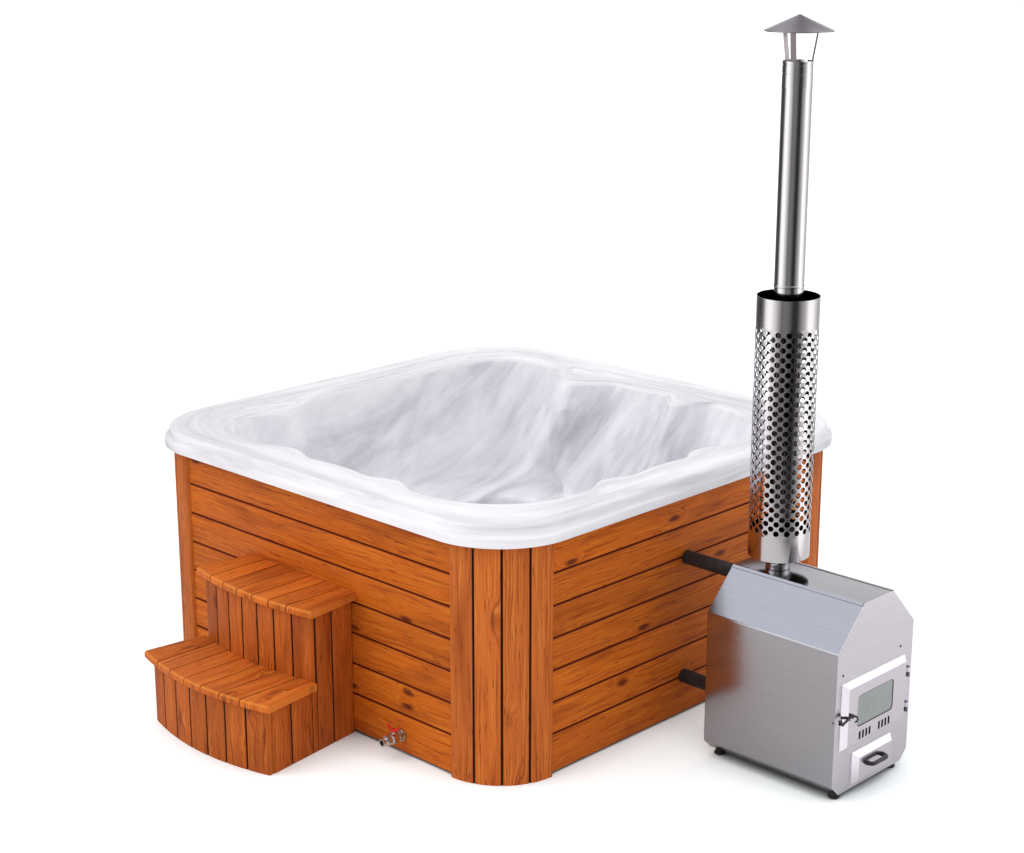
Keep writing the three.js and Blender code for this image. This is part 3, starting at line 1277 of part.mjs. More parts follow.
// Side of upright boards, full height under the upper tread and lower in front of the upper riser
function sideGeometry(side) {
  const start = seat;
  const end = lowerStepDepth - riserThickness - seat;
  const face = [[0, -start]];
  for (let y = stepSideBoard; y + stepGrooveWidth < end; y += stepSideBoard) {
    face.push([0, -y + stepGrooveWidth / 2], [-stepGrooveDepth, -y], [0, -y - stepGrooveWidth / 2]);
  }
  face.push([0, -end], [-riserThickness, -end], [-riserThickness, -start]);
  const upperTop = 2 * stepRise - treadThickness - seat;
  const lowerTop = stepRise - treadThickness - seat;
  const strip = face.map(([x, y]) => [side * (stepHalf(-y) + x), y]);
  const wall = alongZ(shapeOf(strip), 0, upperTop);
  const reach = 2 * stepHalf(lowerStepDepth);
  return cut(wall, block(-reach, reach, -reach, -upperStepDepth + riserThickness + seat, lowerTop, upperTop + overrun));
}

// Room in the upper riser for the low part of a side
function sideNotch(side) {
  const [near, far] = [upperStepDepth - 2 * riserThickness, lowerStepDepth];
  const edge = (depth) => side * (stepHalf(depth) - riserThickness - seat);
  const reach = side * (stepHalf(far) + overrun);
  const outline = shapeOf([[edge(near), -near], [edge(far), -far], [reach, -far], [reach, -near]]);
  return alongZ(outline, -overrun, stepRise - treadThickness);
}

function addSteps() {
  const upperTop = 2 * stepRise;
  const lowerBack = (inset) => {
    const half = stepHalf(upperStepDepth) + treadOverhang - inset;
    const back = -upperStepDepth - seat;
    const alongRiser = bowedFront(upperStepDepth, upperStepBow, 0, 2 * riserStaves).reverse();
    return [[half, back], ...alongRiser.map(([x, y]) => [x, y - seat]), [-half, back]];
  };
  const upperBack = (inset) => {
    const half = stepHalfAtWall + treadOverhang - inset;
    return [[half, -seat], [-half, -seat]];
  };
  place(steps, 'lower_tread', treadGeometry(lowerStepDepth, lowerStepBow, lowerBack, stepRise), materials.wood);
  place(steps, 'upper_tread', treadGeometry(upperStepDepth, upperStepBow, upperBack, upperTop), materials.wood);
  const lowerRiser = riserGeometry(lowerStepDepth, lowerStepBow, stepRise - treadThickness - seat);
  place(steps, 'lower_riser', lowerRiser, materials.wood);
  const upperRiser = riserGeometry(upperStepDepth, upperStepBow, upperTop - treadThickness - seat);
  const notches = [-1, 1].map(sideNotch);
  place(steps, 'upper_riser', cut(upperRiser, ...notches), materials.wood);
  place(steps, 'left_step_side', sideGeometry(-1), materials.wood);
  place(steps, 'right_step_side', sideGeometry(1), materials.wood);
}

addPanels();
addCorners();
addFrame();
addShell();
addHoseCircuit();
addDrain();
addValve();
addCasing();
addFirebox();
addDoor();
addHinges();
addLatch();
addKeeper();
addAshDrawer();
addFeet();
addFluePipes();
addGuard();
addRainCap();
addSteps();

export default root;
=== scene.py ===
"""Looks of a wood-burning hot tub: a timber-clad square tub with a marbled acrylic shell, a stainless wood
furnace on two hoses with a tall guarded flue, a nickel-plated drain valve and a two-step entry unit.
Metres, +Z up. The steps and the valve are on the -Y side and the furnace on the +X side."""

import math

import bmesh
import bpy
import numpy as np
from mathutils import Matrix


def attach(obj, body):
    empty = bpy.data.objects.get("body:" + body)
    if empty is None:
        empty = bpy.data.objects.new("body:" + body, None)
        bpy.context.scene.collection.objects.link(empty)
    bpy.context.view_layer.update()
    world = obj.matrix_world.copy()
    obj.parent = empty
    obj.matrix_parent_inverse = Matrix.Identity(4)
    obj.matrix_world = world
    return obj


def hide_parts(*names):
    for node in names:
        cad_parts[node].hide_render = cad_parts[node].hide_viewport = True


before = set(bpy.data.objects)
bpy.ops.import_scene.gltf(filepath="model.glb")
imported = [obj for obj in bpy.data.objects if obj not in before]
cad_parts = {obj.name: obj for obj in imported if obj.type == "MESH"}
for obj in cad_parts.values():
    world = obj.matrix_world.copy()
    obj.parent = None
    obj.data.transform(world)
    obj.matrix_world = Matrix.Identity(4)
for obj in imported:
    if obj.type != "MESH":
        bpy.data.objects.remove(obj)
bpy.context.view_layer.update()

# Camera
# It stands off the tub's front right corner, a little above the flue's cap, and looks slightly down.

camera_data = bpy.data.cameras.new("camera")
camera_data.sensor_width = 36
camera_data.lens = 66.86
camera_data.clip_end = 400
camera = bpy.data.objects.new("camera", camera_data)
camera.location = (5.232, -5.2926, 3.0518)
camera.rotation_euler = (math.radians(90 - 15.79), 0, math.radians(44.27))
bpy.context.scene.collection.objects.link(camera)
bpy.context.scene.camera = camera
bpy.context.scene.view_settings.view_transform = "Standard"

# Studio
# A plain pale floor, an even soft dome and one large soft lamp from the front left. Polished metal sees
# the studio's bright panels and dark gaps between them, which give the pipes their upright bands.


def linear(code):
    """Linear colour of an sRGB hex code: each channel by the sRGB curve, with an opaque alpha."""
    channels = [int(code[i : i + 2], 16) / 255 for i in (1, 3, 5)]
    return [c / 12.92 if c <= 0.04045 else ((c + 0.055) / 1.055) ** 2.4 for c in channels] + [1.0]


def feed(node, name, value):
    """Gives one input of a node a value, or links a socket or another node's first output to it."""
    if isinstance(value, bpy.types.Node):
        value = value.outputs[0]
    if isinstance(value, bpy.types.NodeSocket):
        node.id_data.links.new(value, node.inputs[name])
    else:
        node.inputs[name].default_value = value


def add(tree, kind, inputs=None, **settings):
    """Adds one node to a tree. Settings are its own properties, and each input goes in by feed."""
    node = tree.nodes.new("ShaderNode" + kind)
    for name, value in settings.items():
        setattr(node, name, value)
    for name, value in (inputs or {}).items():
        feed(node, name, value)
    return node


def maths(tree, operation, *terms):
    """One step of arithmetic on up to three terms."""
    return add(tree, "Math", dict(enumerate(terms)), operation=operation)


def remap(tree, value, source=(0, 1), target=(0, 1), **settings):
    """Value carried from one span to another and held within it."""
    spans = {"From Min": source[0], "From Max": source[1], "To Min": target[0], "To Max": target[1]}
    return add(tree, "MapRange", {"Value": value, **spans}, **settings)


def mix(tree, share, first, second):
    """Colour on the way from the first to the second, by a share."""
    return add(tree, "Mix", {0: share, 6: first, 7: second}, data_type="RGBA").outputs[2]


def ramp(tree, factor, stops, tint=(1, 1, 1)):
    """Colour ramp through stops of position and colour: a hex code, or a brightness times the tint."""
    node = add(tree, "ValToRGB", {"Fac": factor})
    elements = node.color_ramp.elements
    elements[0].position, elements[-1].position = stops[0][0], stops[-1][0]
    for position, _ in stops[1:-1]:
        elements.new(position)
    for element, (_, tone) in zip(elements, stops):
        element.color = linear(tone) if isinstance(tone, str) else [tone * share for share in tint] + [1]
    return node


studio = bpy.data.worlds.new("studio")
bpy.context.scene.world = studio
studio.use_nodes = True
sky = studio.node_tree
sky.nodes.clear()
direction = add(sky, "SeparateXYZ", {0: add(sky, "TexCoord").outputs["Generated"]})
around = maths(sky, "ARCTAN2", direction.outputs[1], direction.outputs[0])
turn = remap(sky, around, (-math.pi, math.pi))
panel_strength = 2.5
level_bands = [(-180, 0.08), (-164, 0.08), (-152, 0.3), (-138, 1.6), (-120, 1.85), (-106, 1.35), (-92, 0.8),
               (-77, 0.23), (-62, 0.28), (-48, 0.19), (-36, 0.05), (-20, 0.04), (-5, 0.36), (14, 0.85),
               (28, 1.9), (48, 1.75), (67, 1.0), (84, 0.6), (98, 0.7), (120, 1.0), (135, 1.1), (150, 0.35),
               (166, 0.1)]
upper_bands = [(-180, 1.2), (-160, 1.3), (-120, 1.3), (-90, 0.8), (-40, 0.5), (0, 0.8), (45, 2.0), (85, 2.0),
               (105, 0.45), (122, 0.45), (134, 0.62), (150, 0.95), (165, 1.2)]
low = ramp(sky, turn, [((angle + 180) / 360, tone / panel_strength) for angle, tone in level_bands])
high = ramp(sky, turn, [((angle + 180) / 360, tone / panel_strength) for angle, tone in upper_bands],
            (0.95, 0.975, 1.07))
rise = remap(sky, direction.outputs[2], (0.42, 0.56))
panels = mix(sky, rise, low, high)
seen = add(sky, "LightPath")
polished = add(sky, "Background", {"Color": panels, "Strength": panel_strength})
dome = add(sky, "Background", {"Color": (1, 1, 1, 1), "Strength": 0.95})
white = add(sky, "Background", {"Color": (1, 1, 1, 1), "Strength": 1})
lit = add(sky, "MixShader", {0: seen.outputs["Is Glossy Ray"], 1: dome, 2: polished})
direct = maths(sky, "MAXIMUM", seen.outputs["Is Camera Ray"], seen.outputs["Is Transmission Ray"])
add(sky, "OutputWorld", {"Surface": add(sky, "MixShader", {0: direct, 1: lit, 2: white})})

lamp_data = bpy.data.lights.new("soft_lamp", "SUN")
lamp_data.energy = 0.7
lamp_data.angle = math.radians(38)
lamp = bpy.data.objects.new("soft_lamp", lamp_data)
lamp.rotation_euler = (math.radians(90 - 40), 0, math.radians(-122 + 90))
lamp.visible_glossy = False
bpy.context.scene.collection.objects.link(lamp)

floor_paint = bpy.data.materials.new("matt_white_floor")
floor_paint.use_nodes = True
tree = floor_paint.node_tree
tree.nodes.clear()
seen = add(tree, "LightPath")
floor_glow = maths(tree, "MULTIPLY", seen.outputs["Is Camera Ray"], 0.42)
floor_gloss = maths(tree, "MAXIMUM", seen.outputs["Is Glossy Ray"], seen.outputs["Is Transmission Ray"])
# A reflector lies on the floor off the furnace's front left corner, and only polished metal sees it
card_at = add(tree, "VectorMath", {0: add(tree, "NewGeometry").outputs["Position"], 1: (2.32, -0.62, 0)},
              operation="DISTANCE")
card = remap(tree, card_at.outputs["Value"], (0.55, 0.42), (0.06, 0.5))
floor_lift = maths(tree, "MULTIPLY_ADD", floor_gloss, card, floor_glow)
# Open floor glows in full and floor closed in under the object not at all, which leaves a dark contact line
openness = add(tree, "AmbientOcclusion", {"Distance": 0.22}, samples=8).outputs["AO"]
open_sky = remap(tree, openness, (0.12, 0.8))
floor_lift = maths(tree, "MULTIPLY", floor_lift, open_sky)
floor_light = add(tree, "Emission", {"Color": (0.972, 1, 1.003, 1), "Strength": floor_lift})
floor_tone = mix(tree, seen.outputs["Is Camera Ray"], (0.88, 0.88, 0.885, 1), (0.838, 0.88, 0.888, 1))
# The floor's own colour darkens towards black where it is closed in under the object: painted contact shadow
painted_contact_shadow = remap(tree, openness, (0.08, 0.38), (0.08, 1))
floor_tone = mix(tree, painted_contact_shadow, (0, 0, 0, 1), floor_tone)
floor_matt = add(tree, "BsdfDiffuse", {"Color": floor_tone})
add(tree, "OutputMaterial", {"Surface": add(tree, "AddShader", {0: floor_matt, 1: floor_light})})


def floor_sheet(name, inner, outer, facets=96):
    """Flat ring of floor between two radii, or a disc where the inner one is 0."""
    angles = np.linspace(0, 2 * np.pi, facets, endpoint=False)
    ring = np.stack([np.cos(angles), np.sin(angles), np.zeros(facets)], 1)
    mesh = bpy.data.meshes.new(name)
    here, after = np.arange(facets), np.roll(np.arange(facets), -1)
    if inner:
        faces = np.stack([here, after, after + facets, here + facets], 1)
        mesh.from_pydata(np.concatenate([ring * outer, ring * inner]), [], faces)
    else:
        mesh.from_pydata(ring * outer, [], [here])
    mesh.materials.append(floor_paint)
    sheet = bpy.data.objects.new(name, mesh)
    sheet.location = (0.3, -0.2, 0)
    bpy.context.scene.collection.objects.link(sheet)
    return sheet


# Polished metal sees the near floor only
near_reach, far_reach = 3.4, 150
floor_sheet("floor_near", 0, near_reach)
floor_sheet("floor_far", near_reach, far_reach).visible_glossy = False

# Bathing shell
# One vacuum-formed sheet of white acrylic with soft grey marbling, backed with glass fibre and hung by
# its rim on the cabinet. The rim has a raised outer band, a lowered inner band and a rolled lip; the
# walls swell inwards as pillars between the seats, and a square well in the middle takes the feet.


def grid_faces(rows, columns, around=True, closed=False):
    """Quads between neighbouring rows of points. around joins the last column to the first, and closed the
    last row to the first."""
    down = np.arange(rows if closed else rows - 1)[:, None]
    along = np.arange(columns if around else columns - 1)[None, :]
    below, beside = (down + 1) % rows, (along + 1) % columns
    corners = [down * columns + along, down * columns + beside, below * columns + beside, below * columns
               + along]
    return np.stack([np.broadcast_to(c, (len(down), along.shape[1])) for c in corners],
                    -1).reshape(-1, 4).tolist()


def lofted(loops, closed=False):
    """Surface through loops of points with flat ends, or back to its first loop where closed."""
    rows, columns = loops.shape[:2]
    faces = grid_faces(rows, columns, True, closed)
    if not closed:
        faces += [list(range(columns))[::-1], list(range((rows - 1) * columns, rows * columns))]
    return loops.reshape(-1, 3), faces


def joined(*shapes):
    """Several shapes of points and faces as one, each with its face numbers moved up."""
    starts = np.cumsum([0] + [len(points) for points, _ in shapes])
    faces = [[v + int(start) for v in face] for start, (_, fs) in zip(starts, shapes) for face in fs]
    return np.concatenate([points for points, _ in shapes]), faces


def outward(shape):
    """The same shape with its faces turned outwards: the sum of the signed cones over all faces, each fanned
    from its first corner, is the volume, which is made positive."""
    points, faces = shape
    fans = np.array([(f[0], f[i], f[i + 1]) for f in faces for i in range(1, len(f) - 1)])
    a, b, c = (points[fans[:, i]] for i in range(3))
    if np.einsum("ij,ij->i", a, np.cross(b, c)).sum() < 0:
        faces = [face[::-1] for face in faces]
    return points, faces


def all_outward(*shapes):
    """Several closed shapes as one, each turned outwards."""
    return joined(*[outward(shape) for shape in shapes])


def piece(name, shape, material, body, stands_for=(), crease=32, attributes=None):
    """New object of one material from points and faces, riding on a body, smooth but for edges sharper than
    crease degrees. Each attribute is one value or one vector for every point."""
    points, faces = shape
    mesh = bpy.data.meshes.new(name)
    mesh.from_pydata(points, [], faces)
    for key, values in (attributes or {}).items():
        kind, field = ("FLOAT_VECTOR", "vector") if np.ndim(values) > 1 else ("FLOAT", "value")
        mesh.attributes.new(key, kind, "POINT").data.foreach_set(field, np.ravel(values).astype(np.float32))
    mesh.materials.append(material)
    mesh.shade_smooth()
    mesh.set_sharp_from_angle(angle=math.radians(crease))
    thing = bpy.data.objects.new(name, mesh)
    bpy.context.scene.collection.objects.link(thing)
    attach(thing, body)
    if stands_for:
        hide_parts(*stands_for)
    return thing


def rounded_path(points, rounding, steps=4, finest=None):
    """Rows of numbers with each inner corner rounded: a quadratic curve from a point that lies rounding before
    the corner to a point as far after it, measured on the first two columns. Spans over finest are divided."""
    points = np.asarray(points, float)
    share = np.linspace(0, 1, steps + 1)[:, None]
    rows = [points[:1]]
    for before, corner, after, reach in zip(points[:-2], points[1:-1], points[2:], rounding):
        back, ahead = before - corner, after - corner
        start = corner + back * min(0.5, reach / np.hypot(*back[:2]))
        end = corner + ahead * min(0.5, reach / np.hypot(*ahead[:2]))
        rows.append((1 - share) ** 2 * start + 2 * share * (1 - share) * corner + share**2 * end)
    rows = np.concatenate(rows + [points[-1:]])
    if finest:
        spans = np.hypot(*(rows[1:] - rows[:-1])[:, :2].T)
        parts = [rows[i] + (rows[i + 1] - rows[i]) * (np.arange(n) / n)[:, None]
                 for i, n in enumerate(np.maximum(1, np.ceil(spans / finest)).astype(int))]
        rows = np.concatenate(parts + [rows[-1:]])
    return rows


# Columns: half width, height, corner radius, reach of the pillars, swell of the side's middle, rounding
shell_levels = np.array([
    (60, 62.3, 60, 0, 0, 0), (416, 62.3, 190, 0, 0, 46), (457.3, 470, 190, 0, 0, 26),
    (719.7, 470, 350, 105, 26, 60), (852.7, 964, 410, 58, 26, 26), (948, 964, 310, 0, 0, 3),
    (956, 973, 310, 0, 0, 4), (1034, 973, 310, 0, 0, 15), (1034, 937, 310, 0, 0, 3),
    (1048, 930, 310, 0, 0, 4), (1048, 897, 310, 0, 0, 1.5), (1041, 897, 310, 0, 0, 1),
    (1027, 957, 310, 0, 0, 4), (868, 957, 417, 58, 26, 20), (738, 505, 357, 105, 26, 30),
    (712, 463, 350, 105, 26, 10), (464.3, 463, 197, 0, 0, 10), (423, 98, 197, 0, 0, 20),
    (387, 55.3, 190, 0, 0, 8), (60, 55.3, 60, 0, 0, 0)])
shell_rows = rounded_path(shell_levels[:, :5], shell_levels[1:-1, 5], 5, 30) / 1000
# The lowered band has rows 5 mm apart, and columns closer at one end, for the recesses pressed into it
on_band = (shell_rows[:-1, 0] > 0.855) & (shell_rows[1:, 0] < 0.947) & (shell_rows[1:, 1] > 0.955)
spans = np.hypot(*np.diff(shell_rows[:, :2], axis=0).T)
parts = np.where(on_band, np.ceil(spans / 0.005), 1).astype(int)
row_at = np.concatenate([i + np.arange(n) / n for i, n in enumerate(parts)] + [[len(shell_rows) - 1]])
shell_rows = np.stack([np.interp(row_at, np.arange(len(shell_rows)), column) for column in shell_rows.T], 1)

side_share = np.sort(np.concatenate([np.linspace(-1, 1, 37)[:-1], np.linspace(0.51, 0.99, 22)]))
corner_turn = np.concatenate([np.linspace(0, 0.28, 10)[:-1], np.linspace(0.28, np.pi / 2, 20)[:-1]])
hump = lambda t: np.where(np.abs(t) < 1, (1 + np.cos(np.pi * t)) / 2, 0)
straightness = np.concatenate([side_share, np.ones(len(corner_turn))])
corner_cos = np.concatenate([np.ones(len(side_share)), np.cos(corner_turn)])
corner_sin = np.concatenate([np.zeros(len(side_share)), np.sin(corner_turn)])
swell_share = np.concatenate([hump(side_share / 0.6), 0 * corner_turn])
# Right, back, left and front side: its two pillars by share along the side, width, weight and further reach,
# its swell, and the share of the common radius left at the corner after it. The last two grow upwards
# from the seats
sides = [([(-0.6, 0.3, 1, 0), (0.6, 0.3, 1, 0)], 1, 1), ([(-0.66, 0.3, 1, 0.05), (0.46, 0.36, 1, 0.09)], 1,
                                                         0.54), ([(-0.4, 0.4, 0.15, 0),
                                                                  (0.9, 0.55, 0.1, 0.08)], -0.25, 0.8),
         ([(-0.6, 0.3, 1, 0), (0.6, 0.3, 1, 0)], 1, 1)]
share_along = np.append(side_share, 1 + 0.8 * corner_turn)
half, height, radius, reach, swell = (shell_rows[:, i : i + 1] for i in range(5))
walled = np.clip((height - 0.47) / 0.16, 0, 1) * np.clip(reach / 0.058, 0, 1)
rows_x, rows_y = [], []
for number, (pillars, side_swell, share_after) in enumerate(sides):
    radius_after = radius * (1 + (share_after - 1) * walled)
    radius_before = radius * (1 + (sides[number - 1][2] - 1) * walled)
    out = half + radius_after * (corner_cos - 1) - swell * side_swell * swell_share
    for share_at, width, weight, further in pillars:
        out = out - (reach * weight + further * walled) * hump((share_along - share_at) / width)
    side = (half - np.where(straightness < 0, radius_before,
                            radius_after)) * straightness + radius_after * corner_sin
    cosine, sine = [(1, 0), (0, 1), (-1, 0), (0, -1)][number]
    rows_x.append(out * cosine - side * sine)
    rows_y.append(out * sine + side * cosine)
shell_x, shell_y = np.concatenate(rows_x, 1), np.concatenate(rows_y, 1)
shell_z = np.broadcast_to(height, shell_x.shape).copy()
inside_rim = (np.arange(len(half)) < np.argmax(half[:, 0]))[:, None] & (half < 0.95)


def sunk_oval(x, y, start, end, reach, depth):
    """Shallow recess round the line from start to end: full depth within 0.72 of its reach, none beyond it."""
    (ax, ay), (bx, by) = start, end
    span = (bx - ax) ** 2 + (by - ay) ** 2
    share = np.clip(((x - ax) * (bx - ax) + (y - ay) * (by - ay)) / span, 0, 1)
    distance = np.hypot(x - ax - share * (bx - ax), y - ay - share * (by - ay)) / reach
    return depth * (0.5 + 0.5 * np.cos(np.pi * np.clip((distance - 0.72) / 0.28, 0, 1)))


for start, end, across in [((-0.915, -0.565), (-0.85, -0.385), 0.03), ((-0.858, 0.70), (-0.80, 0.80), 0.032),
                          ((-0.39, 0.885), (-0.29, 0.885), 0.034)]:
    shell_z -= (inside_rim & (shell_z > 0.95)) * sunk_oval(shell_x, shell_y, start, end, across, 0.0055)
loops = np.stack([shell_x, shell_y, shell_z], -1)

# The marbling's own coordinates: along the rim it runs round the rim, on the walls it falls with a lean
profile = np.concatenate([[0],
                          np.cumsum(np.hypot(np.diff(half[:, 0]),
                                             np.diff(height[:, 0])))])[:, None] + 0 * shell_x
rim_flow = np.stack([profile * 15, shell_x * 1.5, shell_y * 1.5], -1)
wall_flow = np.stack([shell_x * 6.4 - shell_z * 3.0 + shell_y * 1.5, shell_y * 1.4 + shell_z * 0.6,
                      shell_z * 1.6], -1)
in_basin = np.clip((0.958 - loops[..., 2]) / 0.14, 0, 1) * inside_rim
past_lip = (np.clip((0.959 - loops[..., 2]) / 0.008, 0, 1) * inside_rim)[..., None]
flow = rim_flow * (1 - past_lip) + (wall_flow + 3) * past_lip


def shaded(name):
    """New material, with its node tree and its Principled shader."""
    material = bpy.data.materials.new(name)
    material.use_nodes = True
    return material, material.node_tree, material.node_tree.nodes["Principled BSDF"]


# Cast acrylic sheet: glossy, with grey smoke drawn out in the white as the sheet was poured
marbled_acrylic, tree, shader = shaded("marbled_white_acrylic")
sheet_flow = add(tree, "Attribute", attribute_name="flow").outputs["Vector"]
basin = add(tree, "Attribute", attribute_name="basin").outputs["Fac"]
smoke = add(tree, "TexNoise", {"Vector": sheet_flow, "Scale": 0.62, "Detail": 7, "Roughness": 0.56,
                               "Distortion": 0.5})
veins = add(tree, "TexNoise", {"Vector": sheet_flow, "Scale": 1.9, "Detail": 5, "Roughness": 0.6,
                               "Distortion": 1.3})
both = maths(tree, "ADD", smoke, maths(tree, "MULTIPLY", veins, 0.35))
mixed = remap(tree, both, (0.42, 0.93))
rim_tone = ramp(tree, mixed, [(0.0, "#c4c3ca"), (0.3, "#dad9df"), (0.52, "#e9e8ed"), (0.8, "#f5f4f9"),
                              (1.0, "#f9f8fc")])
# The walls' ramp runs to darker greys than the rim's: bolder marbling, with painted shade in the basin
wall_tone_with_shade = ramp(tree, mixed, [(0.0, "#b0afb7"), (0.28, "#cfced5"), (0.5, "#e6e5eb"), (0.72, "#f4f3f8"),
                               (1.0, "#fdfcff")])
tone = mix(tree, basin, rim_tone, wall_tone_with_shade)
feed(shader, "Base Color", tone)
feed(shader, "IOR", 1.49)
haze = add(tree, "TexNoise", {"Vector": sheet_flow, "Scale": 9.0, "Detail": 2})
feed(shader, "Roughness", remap(tree, haze, target=(0.1, 0.2)))

shell_shape = outward(lofted(loops))
piece("acrylic_shell", shell_shape, marbled_acrylic, "tub", ["tub_shell"], 50,
      {"flow": flow.reshape(-1, 3), "basin": in_basin.ravel()})

# Cladding boards
# Spruce boards, tongued and grooved, with chamfered edges that leave a V between them, nailed level on
# battens on all four sides and soaked in a clear orange-brown stain. The lowest board is wider.


def rounded_section(length, thickness, inset, radii):
    """Section of a board as a loop of along and depth, for its four corners in turn: back low, face low, face
    high, back high. Each corner is an arc of its own radius; the face lies inset deep."""
    (low, high), loops = length, []
    corners = [(low, thickness, 1, -1, 90), (low, inset, 1, 1, 180), (high, inset, -1, 1, 270),
               (high, thickness, -1, -1, 0)]
    for (along, depth, toward, inward, angle), corner in zip(corners, radii):
        turned = np.radians(angle + np.linspace(0, 90, 5))
        loops.append(np.stack([along + corner * (toward + np.cos(turned)), depth
                               + corner * (inward + np.sin(turned))], 1))
    return np.concatenate(loops)


def board(across, along, thickness, vee, radii=(0.0005, 0.0005, 0.0005, 0.0005), steps=1,
          free=(False, False)):
    """One board as a closed block of across, along and depth. Its section loops run from edge to edge; near
    both edges the face sinks by a quarter turn, vee wide and vee deep, to make half a V groove. At a free
    edge, low or high, the next board is missing: the edge is drawn paler and takes none of the groove's stain
    and shade."""
    (low, high), (width, depth) = across, vee
    bend = np.array([0.0, 0.3, 0.62, 0.9])
    edge_across = width * (0.72 * bend + 0.28 * (1 - np.sqrt(1 - bend**2)))
    edge_inset = depth * (1 - (0.72 * bend + 0.28 * np.sqrt(1 - (1 - bend) ** 2)))
    flat = np.linspace(low + width, high - width, steps + 1)
    stations = np.concatenate([low + edge_across, flat, (high - edge_across)[::-1]])
    insets = np.concatenate([edge_inset, np.zeros(steps + 1), edge_inset[::-1]])
    loops = []
    for place, inset in zip(stations, insets):
        section = rounded_section(along, thickness, inset, radii)
        loops.append(np.column_stack([np.full(len(section), place), section]))
    points, faces = lofted(np.array(loops))
    stain_and_shade = np.concatenate([np.full(4, -0.3 if free[0] else 1), np.ones(steps + 1),
                            np.full(4, -0.3 if free[1] else 1)])
    return points, faces, np.repeat(insets * stain_and_shade, len(loops[0]))


def timber(name, boards, carry, stands_for, wood, seed=0):
    """Boards as one piece: carry takes their across, along and depth to the row frame. The grain attribute
    keeps along, across and groove depth, each board from its own part of the tree, and tone its shade."""
    random = np.random.default_rng(seed)
    shapes, grains, tones = [], [], []
    for points, faces, sunk in boards:
        x, y, z = carry(points[:, 0], points[:, 1], points[:, 2])
        shapes.append((np.stack([x, y, z], 1), faces))
        offset = random.uniform(0, 40, 2)
        grains.append(np.stack([points[:, 1] + offset[0], points[:, 0] + offset[1], sunk + 0 * x], 1))
        tones.append(np.full(len(points), random.uniform(0, 1)))
    return piece(name, outward(joined(*shapes)), wood, "tub", stands_for, 40,
                 {"grain": np.concatenate(grains), "tone": np.concatenate(tones)})


